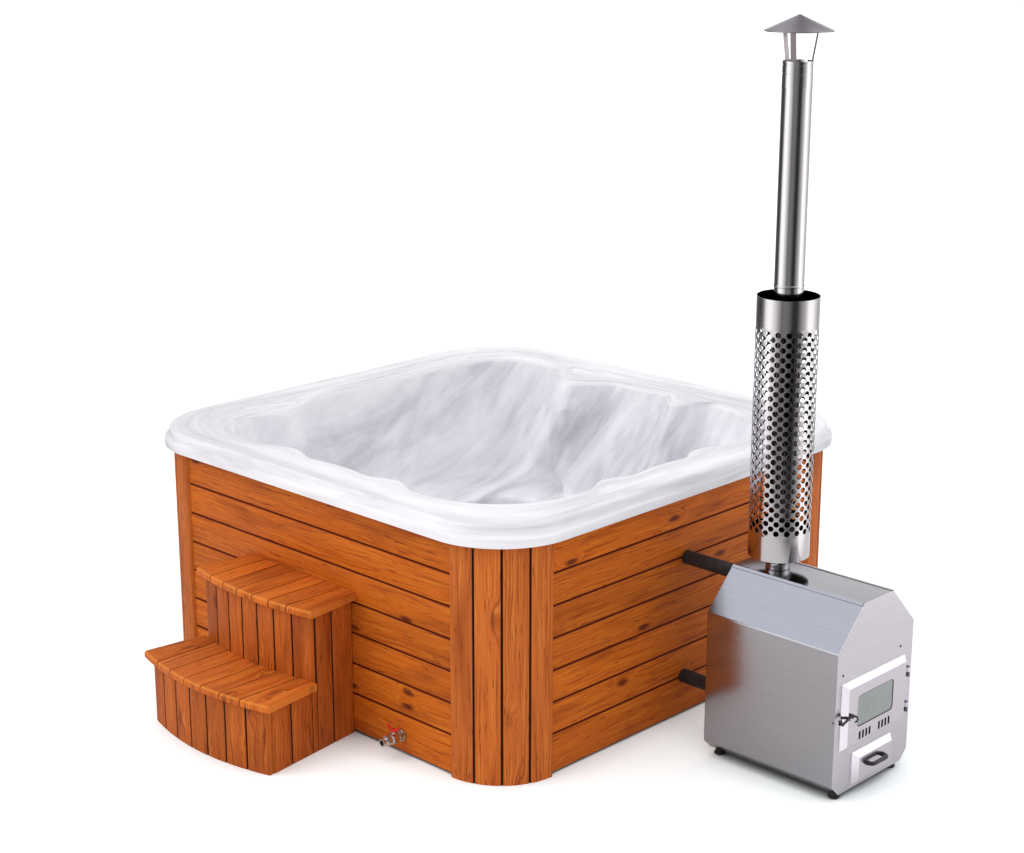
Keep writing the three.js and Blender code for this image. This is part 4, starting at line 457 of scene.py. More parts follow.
# Stained spruce: fine darker grain lines along the board, wavy by the knots, with red-brown knots and a
# few resin streaks. Stain gathers in the V grooves, and their near-black colour is that stain and painted
# shade.
def stained_spruce(name, dark, body, light, knots=1.0, arches=1.1, groove_stain_and_shade="#3d1705"):
    """Material that reads the boards' grain and tone attributes; the three hex codes are late wood, main
    colour and early wood. arches is how often a metre the grain swings across, which draws V figures."""
    material, tree, wood = shaded(name)
    grain = add(tree, "Attribute", attribute_name="grain").outputs["Vector"]
    shade = add(tree, "Attribute", attribute_name="tone").outputs["Fac"]
    parts = add(tree, "SeparateXYZ", {0: grain})
    wide = add(tree, "Mapping", {"Vector": grain, "Scale": (3.4, 9.5, 0)}).outputs[0]
    spots = add(tree, "TexVoronoi", {"Vector": wide, "Scale": 1.0, "Randomness": 0.9},
                voronoi_dimensions="2D")
    knotted = remap(tree, add(tree, "SeparateXYZ", {0: spots.outputs["Color"]}).outputs[0], (0.66, 0.72),
                    (0, knots))
    near = remap(tree, spots.outputs["Distance"], (0.42, 0.02), interpolation_type="SMOOTHERSTEP")
    swirl = maths(tree, "MULTIPLY", near, knotted)
    slow = add(tree, "TexNoise",
               {"Vector": add(tree, "Mapping", {"Vector": grain, "Scale": (arches, 7, 0)}), "Scale": 1.0,
                "Detail": 3, "Roughness": 0.55})
    # Growth rings, about 6 mm apart across the board: the across size, drawn aside by noise and by knots
    rings = maths(tree, "MULTIPLY", parts.outputs[1], 165.0)
    rings = maths(tree, "MULTIPLY_ADD", slow, 13.0, rings)
    rings = maths(tree, "MULTIPLY_ADD", swirl, 8.0, rings)
    along = maths(tree, "MULTIPLY", parts.outputs[0], 2.6)
    ring_space = add(tree, "CombineXYZ", {0: along, 1: rings})
    ring_noise = add(tree, "TexNoise", {"Vector": ring_space, "Scale": 1.0, "Detail": 3, "Roughness": 0.6},
                     noise_dimensions="2D")
    fibre = add(tree, "TexNoise", {"Vector": add(tree, "Mapping", {"Vector": grain, "Scale": (9, 420, 0)}),
                                   "Scale": 1.0, "Detail": 3, "Roughness": 0.7})
    streak = maths(tree, "MULTIPLY_ADD", fibre, 0.3, ring_noise)
    colour = ramp(tree, remap(tree, streak, (0.4, 0.88)),
                  [(0.0, dark), (0.4, body), (0.6, body), (1.0, light)]).outputs[0]
    cloud = add(tree, "TexNoise", {"Vector": add(tree, "Mapping", {"Vector": grain, "Scale": (2.2, 11, 0)}),
                                   "Scale": 1.0, "Detail": 2})
    clouded = mix(tree, remap(tree, cloud, (0.52, 0.76), (0, 0.7)), colour, linear(dark))
    resin = add(tree, "TexNoise", {"Vector": add(tree, "Mapping", {"Vector": grain, "Scale": (13, 150, 0)}),
                                   "Scale": 1.0, "Detail": 1})
    flecked = mix(tree, remap(tree, resin, (0.64, 0.74), (0, 0.75)), clouded, linear("#5f2207"))
    heart = maths(tree, "MULTIPLY", remap(tree, spots.outputs["Distance"], (0.15, 0.06)), knotted)
    with_knots = mix(tree, maths(tree, "MULTIPLY", heart, 0.9), flecked, linear("#561c06"))
    toned = add(tree, "HueSaturation", {"Color": with_knots, "Value": remap(tree, shade, target=(0.84, 1.1))})
    # Deep in a V groove the colour goes to the groove's stain and painted shade
    groove = remap(tree, parts.outputs[2], (0.0004, 0.002))
    stained = mix(tree, groove, toned, linear(groove_stain_and_shade))
    # Free edges are drawn paler
    worn = remap(tree, parts.outputs[2], (-0.0003, -0.0013), (0, 0.55))
    edged = mix(tree, worn, stained, linear(light))
    feed(wood, "Base Color", edged)
    feed(wood, "Roughness", remap(tree, streak, target=(0.5, 0.68)))
    relief = add(tree, "Bump", {"Height": streak, "Strength": 0.25, "Distance": 0.0006})
    feed(wood, "Normal", relief)
    feed(wood, "Specular IOR Level", 0.2)
    return material


board_stain = stained_spruce("orange_stained_spruce", "#863603", "#c56214", "#d67a20", groove_stain_and_shade="#661f02")

cladding_half, board_low, board_high = 1.0, 0.007, 0.930
# Each board stops this far short of its seam
hairline = 0.0002
seams = [0.158 + 0.1214 * i for i in range(7)]
board_edges = list(zip([board_low] + seams, [s for s in seams if s < board_high] + [board_high]))
side_axes = {"right": (1, 0), "back": (0, 1), "left": (-1, 0), "front": (0, -1)}
for number, (side_name, (ax, ay)) in enumerate(side_axes.items()):
    boards = [board((low + hairline, high - hairline), (-0.7495, 0.7495), 0.019, (0.0064, 0.007),
                    free=(low == board_low, high == board_high)) for low, high in board_edges]
    battens = [board((offset - 0.0225, offset + 0.0225), (0.01, 0.9), 0.029, (0.001, 0.001))
               for offset in (-0.7, -0.24, 0.24, 0.7)]

    def on_side(across, along, depth, ax=ax, ay=ay):
        """Boards: across is height, along runs round the cabinet and depth goes in from the face."""
        face = cladding_half - depth
        return ax * face - ay * along, ay * face + ax * along, across

    def behind_side(across, along, depth, ax=ax, ay=ay):
        """Battens: across runs round the cabinet and along is height, with their face behind the boards."""
        face = cladding_half - 0.0205 - depth
        return ax * face - ay * across, ay * face + ax * across, along

    timber(f"{side_name}_boards", boards, on_side, [f"{side_name}_panel"], board_stain, 11 + number)
    timber(f"{side_name}_battens", battens, behind_side, [], board_stain, 21 + number)

# Corner staves
# Upright staves of the same spruce, milled hollow and round, four to each corner of the cabinet. They stand
# 10 mm proud of the boards and run down to the floor.

stave_stain = stained_spruce("orange_stained_staves", "#923f0b", "#c76726", "#d77f34", 0.5)
corner_radius, corner_centre, stave_thick = 0.26, 0.75, 0.024
stave_pitch = corner_radius * np.pi / 2 / 4
for number, (corner_name, quarter_turns) in enumerate([("back_right", 0), ("back_left", 1),
                                                       ("front_left", 2), ("front_right", 3)]):
    staves = [board((i * stave_pitch + hairline, (i + 1) * stave_pitch - hairline), (0, 0.93), stave_thick,
                    (0.006, 0.008), steps=6, free=(i == 0, i == 3)) for i in range(4)]

    def round_corner(across, along, depth, start=quarter_turns * np.pi / 2):
        """Staves: across is the arc round the corner's centre and along is height."""
        angle = across / corner_radius
        u = corner_centre + (corner_radius - depth) * np.cos(angle)
        v = corner_centre + (corner_radius - depth) * np.sin(angle)
        return u * np.cos(start) - v * np.sin(start), u * np.sin(start) + v * np.cos(start), along

    timber(f"{corner_name}_staves", staves, round_corner, [f"{corner_name}_corner_staves"], stave_stain, 31
           + number)

# Carrying frame
# Base ring with joists, top ring and four corner posts of raw sawn softwood, screwed together inside the
# cabinet. The base can be seen from below only.

raw_softwood, tree, shader = shaded("raw_sawn_softwood")
place = add(tree, "TexCoord").outputs["Object"]
saw = add(tree, "TexNoise", {"Vector": add(tree, "Mapping", {"Vector": place, "Scale": (14, 14, 55)}),
                             "Scale": 1.6, "Detail": 6, "Roughness": 0.65})
tone = ramp(tree, saw, [(0.3, "#a9825a"), (0.5, "#c8a273"), (0.7, "#dcbd92")])
feed(shader, "Base Color", tone)
feed(shader, "Roughness", remap(tree, saw, target=(0.7, 0.95)))
feed(shader, "Normal", add(tree, "Bump", {"Height": saw, "Strength": 0.4, "Distance": 0.001}))


def dress(material, *nodes):
    """Gives CAD nodes a finished material in place of their plain one."""
    for node in nodes:
        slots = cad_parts[node].material_slots
        if not slots:
            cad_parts[node].data.materials.append(material)
        for slot in slots:
            slot.material = material


dress(raw_softwood, "base_frame", "top_frame", "front_right_post", "front_left_post", "back_right_post",
      "back_left_post")

# Water fittings
# Three moulded fittings of light grey plastic clamp the shell's wall between a flange on the water side and
# a nut on the dry side. The return has a swivelling nozzle and the suction a slotted grille.


def turned(profile, axis, centre, sides=64, closed=False):
    """Surface of revolution: each row of radius and distance along the axis gives a ring of points. A closed
    profile makes a tube with a bore, an open one has flat round ends."""
    profile = np.asarray(profile, float)
    angles = np.linspace(0, 2 * np.pi, sides, endpoint=False)
    first, second = profile[:, :1] * np.cos(angles), profile[:, :1] * np.sin(angles)
    along = profile[:, 1:2] + 0 * first
    order = {"x": (along, first, second), "y": (second, along, first), "z": (first, second, along)}[axis]
    return lofted(np.stack(order, -1) + np.asarray(centre), closed)


def tube_profile(corners, rounding):
    """Closed profile through corners of radius and distance in mm, each rounded by rounding mm. It starts
    and ends halfway along the side between the last corner and the first."""
    corners = np.asarray(corners, float)
    middle = (corners[0] + corners[-1]) / 2
    return rounded_path(np.vstack([middle, corners, middle]), [rounding] * len(corners), 4)[:-1] / 1000


def fitting(face, back, flange, barrel, nut, tail, bore):
    """Through-wall fitting in mm from the water side: flange, barrel through the wall, nut and barbed tail."""
    nut_end = back + 14.3
    barbs = [(tail - 0.9, nut_end + 12), (tail, nut_end + 12.6), (tail - 0.9, nut_end + 26),
             (tail, nut_end + 26.6), (tail - 0.9, nut_end + 40), (tail, nut_end + 40.6),
             (tail - 0.9, nut_end + 60)]
    return tube_profile([(bore, face - 7.5), (bore + 3, face - 8.3), (flange - 3, face - 8.3),
                         (flange, face - 5), (flange, face - 0.3), (barrel, face - 0.3),
                         (barrel, back + 0.3), (nut, back + 0.3), (nut, nut_end), (tail, nut_end)] + barbs
                        + [(bore, nut_end + 60)], 0.6)


grey_plastic, tree, shader = shaded("moulded_grey_plastic")
orange_peel = add(tree, "TexNoise", {"Vector": add(tree, "TexCoord").outputs["Object"], "Scale": 420,
                                     "Detail": 2})
feed(shader, "Base Color", ramp(tree, orange_peel, [(0.3, "#cfd0d3"), (0.7, "#dcdde0")]))
feed(shader, "Roughness", remap(tree, orange_peel, target=(0.3, 0.42)))

hose_y, return_level, suction_level = -0.014, 0.64, 0.16
return_shape = turned(fitting(724.6, 768.0, 38, 26, 36, 21.6, 17.6), "x", (0, hose_y, return_level), 64, True)
nozzle = turned(tube_profile([(7, 712), (11, 711), (16.4, 717), (17.3, 724), (17.3, 738), (9, 738)], 1.2),
                "x", (0, hose_y, return_level), 48, True)
piece("return_fitting_body", outward(joined(return_shape, nozzle)), grey_plastic, "tub",
      ["return_fitting"], 40)

# The grille's slots: a disc of rings and sectors, with every third sector left open between two rings
suction_shape = turned(fitting(418.4, 440.0, 38, 26, 36, 21.6, 17.6), "x", (0, hose_y, suction_level), 64,
                       True)
rings = np.array([1.5, 5, 15.5, 17.4]) / 1000
sectors = np.linspace(0, 2 * np.pi, 49)[:-1]
grille_points = np.stack([np.full((4, 48), 0.4132), hose_y + rings[:, None] * np.cos(sectors), suction_level
                          + rings[:, None] * np.sin(sectors)], -1)
grille_faces = [face for i, face in enumerate(grid_faces(4, 48))
                if not (48 <= i < 96 and i % 4 < 2)] + [list(range(48))[::-1]]
grille = piece("suction_grille", (grille_points.reshape(-1, 3), grille_faces), grey_plastic, "tub",
               [], 40)
thickness = grille.modifiers.new("thickness", "SOLIDIFY")
thickness.thickness = 0.0024
thickness.offset = 0
piece("suction_fitting_body", outward(suction_shape), grey_plastic, "tub",
      ["suction_fitting"], 40)

# Hoses
# Two straight lengths of black EPDM water hose, pushed over the furnace's spigots and the fittings' tails.
# Their surface is matt with a faint woven print from the curing wrap.

black_rubber, tree, shader = shaded("black_epdm_rubber")
place = add(tree, "TexCoord").outputs["Object"]
wrap = add(tree, "TexWave", {"Vector": place, "Scale": 160, "Distortion": 1.5, "Detail": 1},
           bands_direction="DIAGONAL")
dust = add(tree, "TexNoise", {"Vector": place, "Scale": 30, "Detail": 5})
feed(shader, "Base Color", ramp(tree, dust, [(0.35, "#1b1a1b"), (0.7, "#2b2a2b")]))
feed(shader, "Roughness", remap(tree, dust, target=(0.42, 0.62)))
feed(shader, "Normal", add(tree, "Bump", {"Height": wrap, "Strength": 0.12, "Distance": 0.0004}))

for hose_name, start, level in [("upper_hose", 780.4, return_level), ("lower_hose", 454.9, suction_level)]:
    profile = tube_profile([(22, start), (27, start), (27, 1287.7), (22, 1287.7)], 1.0)
    piece(f"{hose_name}_rubber", outward(turned(profile, "x", (0, hose_y, level), 72, True)), black_rubber,
          "tub", [hose_name], 40)

# Hose clamps
# Worm-drive clamps of stainless band, 12 mm wide, with a pressed housing and a slotted hexagon screw on top.


def brushed_steel(name, tone, roughness, brushing, waves=0.0):
    """Metal with fine lines drawn out along the axis whose scale is small; brushing is the lines' scale per
    metre. waves bends the reflections, as thin sheet does, by a slow swell of that many metres."""
    material, tree, metal = shaded(name)
    feed(metal, "Metallic", 1)
    place = add(tree, "TexCoord").outputs["Object"]
    lines = add(tree, "TexNoise", {"Vector": add(tree, "Mapping", {"Vector": place, "Scale": brushing}),
                                   "Scale": 1.0, "Detail": 4, "Roughness": 0.6})
    smudge = add(tree, "TexNoise", {"Vector": place, "Scale": 7.0, "Detail": 4})
    red, green, blue, _ = linear(tone)
    dark = mix(tree, remap(tree, lines, (0.3, 0.7)), (red * 0.95, green * 0.95, blue * 0.95, 1),
               (red * 1.04, green * 1.04, blue * 1.04, 1))
    feed(metal, "Base Color", dark)
    worn = maths(tree, "MULTIPLY_ADD", lines, 0.6, maths(tree, "MULTIPLY", smudge, 0.4))
    feed(metal, "Roughness", remap(tree, worn, (0.3, 0.7), (roughness * 0.8, roughness * 1.25)))
    relief = add(tree, "Bump", {"Height": lines, "Strength": 0.05, "Distance": 0.0002})
    if waves:
        swell = add(tree, "TexNoise", {"Vector": place, "Scale": 3.2, "Detail": 1})
        relief = add(tree, "Bump", {"Height": swell, "Strength": 1.0, "Distance": waves, "Normal": relief})
    feed(metal, "Normal", relief)
    return material


def block(low, high):
    """Plain block between two corners."""
    (x0, y0, z0), (x1, y1, z1) = low, high
    return lofted(np.array([[(x, y0, z0), (x, y1, z0), (x, y1, z1), (x, y0, z1)] for x in (x0, x1)], float))


def softened(thing, width):
    """Rounds an object's sharp edges by width metres."""
    bevel = thing.modifiers.new("edges", "BEVEL")
    bevel.width, bevel.segments = width, 2
    bevel.limit_method, bevel.angle_limit = "ANGLE", math.radians(35)
    bevel.harden_normals = False


clamp_steel = brushed_steel("clamp_steel", "#c9c8cb", 0.22, (40, 400, 40))
for level_name, level in [("upper", return_level), ("lower", suction_level)]:
    centre = (0, hose_y, level)
    band = turned(tube_profile([(27.3, 1256.7), (28.5, 1256.7), (28.5, 1268.7), (27.3, 1268.7)], 0.3), "x",
                  centre, 96, True)
    lips = [turned(tube_profile([(28.2, 1256.7 + at), (28.8, 1256.7 + at), (28.8, 1258.1 + at),
                                 (28.2, 1258.1 + at)], 0.2), "x", centre, 96, True) for at in (0.6, 10.0)]
    screw = turned([(0.0005, -0.022), (0.0028, -0.0218), (0.0032, -0.021), (0.0032, -0.017),
                    (0.0024, -0.0165), (0.0024, -0.012), (0.0005, -0.012)], "y",
                   (1.2627, 0, level + 0.0318), 6)
    housing = block((1.2573, hose_y - 0.0085, level + 0.0278), (1.2681, hose_y + 0.0085, level + 0.0358))
    clamp = piece(f"{level_name}_clamp_band", outward(joined(band, *lips, screw, housing)), clamp_steel,
                  "tub", [f"{level_name}_hose_clamp"], 35)
    softened(clamp, 0.0008)

# Drain
# A small fitting in the well's wall feeds a flexible drain pipe of black plastic, which bends down and
# across under the seats to the valve on the front boards.


def swept(path, radius, sides=20):
    """Round bar with flat ends: rings square to the path, carried along it without twist."""
    path = np.asarray(path, float)
    heading = np.gradient(path, axis=0)
    heading /= np.linalg.norm(heading, axis=1)[:, None]
    across = np.cross(heading[0], np.eye(3)[np.argmin(np.abs(heading[0]))])
    angles = np.linspace(0, 2 * np.pi, sides, endpoint=False)[:, None]
    loops = []
    for point, way, thick in zip(path, heading, np.broadcast_to(radius, len(path))):
        across = across - way * (across @ way)
        across /= np.linalg.norm(across)
        loops.append(point + thick * (np.cos(angles) * across + np.sin(angles) * np.cross(way, across)))
    return lofted(np.array(loops))


def cubic(a, b, c, d, steps):
    """Points of a cubic curve through a and d that leaves a towards b and comes to d from c."""
    t = np.linspace(0, 1, steps)[:, None]
    a, b, c, d = (np.asarray(p, float) for p in (a, b, c, d))
    return (1 - t) ** 3 * a + 3 * t * (1 - t) ** 2 * b + 3 * t**2 * (1 - t) * c + t**3 * d


black_plastic, tree, shader = shaded("satin_black_plastic")
grain_noise = add(tree, "TexNoise", {"Vector": add(tree, "TexCoord").outputs["Object"], "Scale": 350,
                                     "Detail": 2})
feed(shader, "Base Color", ramp(tree, grain_noise, [(0.35, "#161617"), (0.7, "#242426")]))
feed(shader, "Roughness", remap(tree, grain_noise, target=(0.28, 0.42)))

drain_start, drain_end, straight = -0.4462, -1.0227, 0.12
drain_x, drain_z, valve_x, valve_z = 0.15, 0.134, 0.487, 0.075
middle = (drain_start - straight + drain_end + straight) / 2
bends = cubic((drain_x, drain_start - straight, drain_z), (drain_x, middle, drain_z),
              (valve_x, middle, valve_z), (valve_x, drain_end + straight, valve_z), 25)
drain_path = np.vstack([[(drain_x, drain_start, drain_z)], bends, [(valve_x, drain_end, valve_z)]])
piece("drain_pipe_bend", outward(swept(drain_path, 0.0139, 32)), black_plastic, "tub",
      ["drain_pipe"], 40)
drain_fitting_profile = fitting(417.3, 431.6, 26, 18, 25, 10.5, 8) * (1, -1)
piece("drain_fitting_body", outward(turned(drain_fitting_profile, "y", (drain_x, 0, drain_z), 48, True)),
      grey_plastic, "tub", ["drain_fitting"], 40)

# Drain valve
# Nickel-plated brass ball valve screwed to the pipe end: hexagon collars, a bulged body and a gland, with a
# red painted butterfly handle that lies across the pipe when shut.

nickel = brushed_steel("nickel_plate", "#cbc6bf", 0.16, (60, 60, 60))
red_paint, tree, shader = shaded("red_painted_aluminium")
coat = add(tree, "TexNoise", {"Vector": add(tree, "TexCoord").outputs["Object"], "Scale": 220, "Detail": 3})
feed(shader, "Base Color", ramp(tree, coat, [(0.3, "#c4190f"), (0.7, "#dc2a1a")]))
feed(shader, "Roughness", remap(tree, coat, target=(0.25, 0.36)))

valve_at = (valve_x, -1.0, valve_z)
along_pipe = lambda corners, rounding: tube_profile(corners, rounding) * (1, -1)
plate_nut = turned(along_pipe([(14.3, 0.3), (22.5, 0.3), (23.4, 1.2), (23.4, 9.0), (22.5, 10), (14.3, 10)],
                              0.4), "y", valve_at, 64, True)
piece("valve_rose", outward(plate_nut), nickel, "tub", ["valve_flange_nut"], 30)
collar_inner = turned(along_pipe([(14.4, 10.3), (19.2, 10.3), (20, 11.2), (20, 22.4), (19.2, 23.3),
                                  (14.4, 23.3)], 0.3), "y", valve_at, 8, True)
body_tube = turned(along_pipe([(10.2, 22), (16.5, 22), (16.5, 25), (18.2, 28), (20.6, 35), (21, 45),
                               (20.6, 55), (18.6, 61), (17.6, 63), (10.2, 63)], 1.2), "y", valve_at, 64,
                   True)
collar_outer = turned(along_pipe([(10.2, 62), (19.2, 62), (20, 63), (20, 71), (19.2, 72), (10.2, 72)], 0.3),
                      "y", valve_at, 8, True)
gland = turned(tube_profile([(4.4, 20), (9, 20), (9, 25.5), (8.2, 26.6), (4.4, 26.6)], 0.3), "z",
               (valve_x, -1.045, valve_z), 6, True)
piece("valve_casting", outward(joined(collar_inner, body_tube, collar_outer, gland)), nickel, "tub",
      ["valve_body"], 30)
rings_on_tube = [(15.5, 72.3 + 7 + 1.8 * i + d) if d else (14.6, 72.3 + 7 + 1.8 * i) for i in range(8)
                 for d in (0, 0.9)]
outlet = turned(along_pipe([(10.3, 72.3), (20.2, 72.3), (20.2, 79.3)] + rings_on_tube
                           + [(15.4, 100.3), (10.3, 100.3)], 0.3), "y", valve_at, 64, True)
piece("valve_hose_end", outward(outlet), nickel, "tub", ["valve_outlet"], 30)
dress(nickel, "valve_ball")

# The handle's wing: its outline in shares of span and rise, joined by smooth curves, 5 mm thick
wing_shares = np.array([(0.1, 0), (0.5, 0.1), (0.9, 0.45), (1, 0.75), (0.9, 1), (0.7, 0.95), (0.45, 0.6),
                        (0.1, 0.4)])
wing_line = rounded_path(wing_shares * (0.033, 0.027), [0.006] * 6, 5)
wings = []
for direction in (1, -1):
    rim = [(valve_x + direction * x, -1.0475, 0.102 + z) for x, z in wing_line]
    wings.append(outward(lofted(np.array([rim, [(x, y + 0.005, z) for x, y, z in rim]]))))
hub = turned([(0.0005, 0.0272), (0.0082, 0.0272), (0.009, 0.028), (0.009, 0.036), (0.0075, 0.038),
              (0.0005, 0.038)], "z", (valve_x, -1.045, valve_z), 32)
butterfly = piece("butterfly_handle", joined(outward(hub), *wings), red_paint, "valve",
                  ["valve_handle"], 35)
softened(butterfly, 0.0009)

# Furnace casing
# Eight-sided sleeve of 2 mm brushed stainless sheet folded round the insulated water jacket. The wrap's
# edges lap over the roof sheet on both ridges; the end plates are cut flush with the folds.

# The sleeve's steel is toned darker than the front plate's lighter steel: painted shade on the sides, painted
# light on the front
shaded_casing_steel = brushed_steel("shaded_brushed_casing_steel", "#a6a6aa", 0.14, (3, 260, 260), 0.0003)
lit_plate_steel = brushed_steel("lit_brushed_front_steel", "#cecad0", 0.2, (260, 3, 260), 0.0004)
outline = np.array([(-192, 25), (192, 25), (230, 63), (230, 559), (89, 706), (-89, 706), (-230, 559),
                    (-230, 63)]) / 1000


def inset(corners, distance):
    """Convex outline moved in by a distance: each corner moves along both edges' inward normals, by
    distance over 1 plus the cosine between them."""
    edge = np.roll(corners, -1, 0) - corners
    normal = np.stack([-edge[:, 1], edge[:, 0]], 1) / np.linalg.norm(edge, axis=1)[:, None]
    before = np.roll(normal, 1, 0)
    return corners + distance * (normal + before) / (1 + (normal * before).sum(1))[:, None]


def rounded_outline(corners, radius, steps=5):
    """Closed outline with its corners rounded by quadratic curves that start radius before each."""
    closed = np.vstack([(corners[-1] + corners[0]) / 2, corners, (corners[-1] + corners[0]) / 2])
    return rounded_path(closed, [radius] * len(corners), steps)[:-1]


def prism(loop, low, high, axis):
    """Solid bar of one outline between two stations on an axis; the outline runs on the other two axes."""
    order = {"x": (2, 0, 1), "y": (0, 2, 1), "z": (0, 1, 2)}[axis]
    layers = [np.column_stack([loop, np.full(len(loop), station)])[:, order] for station in (low, high)]
    return lofted(np.array(layers))


outer, inner = rounded_outline(outline, 0.005), rounded_outline(inset(outline, 0.002), 0.004)
at_furnace = lambda loop, x: np.column_stack([np.full(len(loop), x), loop[:, 0] + hose_y, loop[:, 1]])
wrap_shape = lofted(np.array([at_furnace(inner, 1.2904), at_furnace(outer, 1.2904),
                              at_furnace(outer, 1.8496), at_furnace(inner, 1.8496)]), True)
piece("furnace_wrap", outward(wrap_shape), shaded_casing_steel, "tub", ["furnace_casing"], 24)
lap_line = [(-0.0905, 0.7071), (-0.081, 0.7071), (-0.081, 0.7076), (-0.0907, 0.7076), (-0.0985, 0.6995),
            (-0.098, 0.699)]
laps = [prism(np.array([(side * y + hose_y, z) for y, z in lap_line]), 1.2906, 1.8494, "x")
        for side in (1, -1)]
piece("ridge_laps", all_outward(*laps), shaded_casing_steel, "tub", [], 24)
dress(lit_plate_steel, "furnace_front_plate")
dress(shaded_casing_steel, "furnace_rear_plate")

# Furnace screws
# Pan-head stainless screws hold the front plate above the door, and blind rivets the casing's front edge.

dark_rivet = brushed_steel("oxidised_rivet", "#4b4642", 0.35, (90, 90, 90))
pan_head = np.array([(0.0004, 0.0026), (0.0022, 0.0025), (0.0036, 0.0018), (0.0042, 0.0006), (0.0042, 0)])
screws = [turned(pan_head, "x", (1.852, y, z), 24) for y, z in ((-0.2096, 0.4724), (0.1398, 0.4788))]
piece("front_plate_screws", all_outward(*screws), dark_rivet, "tub", [], 40)
rivets = [turned(pan_head * (0.8, side * 0.8), "y", (1.842, hose_y + side * 0.23, 0.305), 20)
          for side in (-1, 1)]
piece("casing_rivets", all_outward(*rivets), dark_rivet, "tub", [], 40)

# Fire chamber
# Welded 4 mm steel fire chamber inside a water jacket, both darkened by heat and soot, with a cast iron
# grate on two ledges.

sooted_steel, tree, shader = shaded("sooted_steel_plate")
soot = add(tree, "TexNoise", {"Vector": add(tree, "TexCoord").outputs["Object"], "Scale": 14, "Detail": 6,
                              "Roughness": 0.65})
feed(shader, "Base Color", ramp(tree, soot, [(0.3, "#1d1a18"), (0.55, "#3a342f"), (0.75, "#6a625b")]))
feed(shader, "Roughness", remap(tree, soot, target=(0.8, 0.45)))
feed(tree.nodes["Principled BSDF"], "Metallic", 0.6)

cast_iron, tree, shader = shaded("rough_cast_iron")
sand = add(tree, "TexNoise", {"Vector": add(tree, "TexCoord").outputs["Object"], "Scale": 300, "Detail": 4})
feed(shader, "Base Color", ramp(tree, sand, [(0.3, "#171615"), (0.7, "#332f2c")]))
feed(shader, "Roughness", remap(tree, sand, target=(0.6, 0.85)))
feed(shader, "Normal", add(tree, "Bump", {"Height": sand, "Strength": 0.5, "Distance": 0.0008}))
dress(sooted_steel, "firebox", "water_jacket", "door_glass_frame")
dress(cast_iron, "fire_grate")

# Furnace door
# Pressed stainless pan with wide bevels all round, a window of heat-proof glass held from behind, eight air
# slots below it, and a rope of glass fibre that seals it on the front plate.


def tint_over(tree, share, tone):
    """Lays a colour over a material's own one, by a share."""
    shader = tree.nodes["Principled BSDF"]
    own = shader.inputs["Base Color"].links[0].from_socket
    feed(shader, "Base Color", mix(tree, share, own, linear(tone)))


# The door's steel is toned as light as the front plate's: painted light on the furnace's front
lit_door_steel = brushed_steel("lit_brushed_door_steel", "#d3ccd4", 0.17, (260, 3, 260), 0.0004)
# Near-black 2 mm wide round the eight slots is smoke soot and painted shade that makes them look wider;
# the slots stand 20 mm apart in two groups 118 mm apart
tree = lit_door_steel.node_tree
reach = add(tree, "SeparateXYZ", {0: add(tree, "TexCoord").outputs["Object"]})
from_middle = maths(tree, "ABSOLUTE", maths(tree, "ADD", reach.outputs[1], 0.032))
in_group = maths(tree, "SUBTRACT", from_middle, 0.019)
near_slot = remap(tree, maths(tree, "PINGPONG", in_group, 0.01), (0.0036, 0.0052))
grouped = maths(tree, "COMPARE", in_group, 0.04, 0.0395)
level = maths(tree, "COMPARE", reach.outputs[2], 0.23, 0.0148)
soot_and_slot_shade = maths(tree, "MULTIPLY", near_slot, maths(tree, "MULTIPLY", grouped, level))
tint_over(tree, soot_and_slot_shade, "#1c1919")
dress(lit_door_steel, "furnace_door", "ash_drawer")

stove_glass, tree, shader = shaded("heat_proof_glass")
haze = add(tree, "TexNoise", {"Vector": add(tree, "TexCoord").outputs["Object"], "Scale": 9, "Detail": 4})
feed(shader, "Base Color", ramp(tree, haze, [(0.3, "#8b9492"), (0.7, "#9aa29f")]))
feed(shader, "Roughness", remap(tree, haze, target=(0.06, 0.16)))
feed(tree.nodes["Principled BSDF"], "IOR", 1.54)
dress(stove_glass, "door_glass")

glass_rope, tree, shader = shaded("braided_glass_rope")
braid = add(tree, "TexWave", {"Vector": add(tree, "TexCoord").outputs["Object"], "Scale": 190,
                              "Distortion": 2.0}, bands_direction="DIAGONAL")
feed(shader, "Base Color", ramp(tree, braid, [(0.2, "#6d6963"), (0.8, "#aaa69e")]))
feed(shader, "Normal", add(tree, "Bump", {"Height": braid, "Strength": 0.8, "Distance": 0.001}))
feed(tree.nodes["Principled BSDF"], "Roughness", 0.95)
dress(glass_rope, "door_seal")

# The black gasket line that shows between the glass and the pan's cut edge
gasket_black, tree, shader = shaded("black_gasket")
crumb = add(tree, "TexNoise", {"Vector": add(tree, "TexCoord").outputs["Object"], "Scale": 240, "Detail": 2})
feed(shader, "Base Color", ramp(tree, crumb, [(0.3, "#242626"), (0.7, "#343636")]))
feed(tree.nodes["Principled BSDF"], "Roughness", 0.7)
window_corners = np.array([(-141, 265), (77, 265), (77, 383), (-141, 383)]) / 1000
window_line = rounded_outline(window_corners, 0.018, 8)
window_inner = rounded_outline(inset(window_corners, 0.0026), 0.017, 8)
gasket_loops = [np.column_stack([np.full(len(line), x), line]) for line,
                x in ((window_inner, 1.8702), (window_line * 0.999, 1.8702), (window_line * 0.999, 1.8718),
                      (window_inner, 1.8712))]
piece("window_gasket", outward(lofted(np.array(gasket_loops), True)), gasket_black, "door", [], 30)

# Hinges
# Two loose-pin hinges of stainless steel, coloured dark as painted shade, each a leaf on the front plate and a
# pair of knuckles.

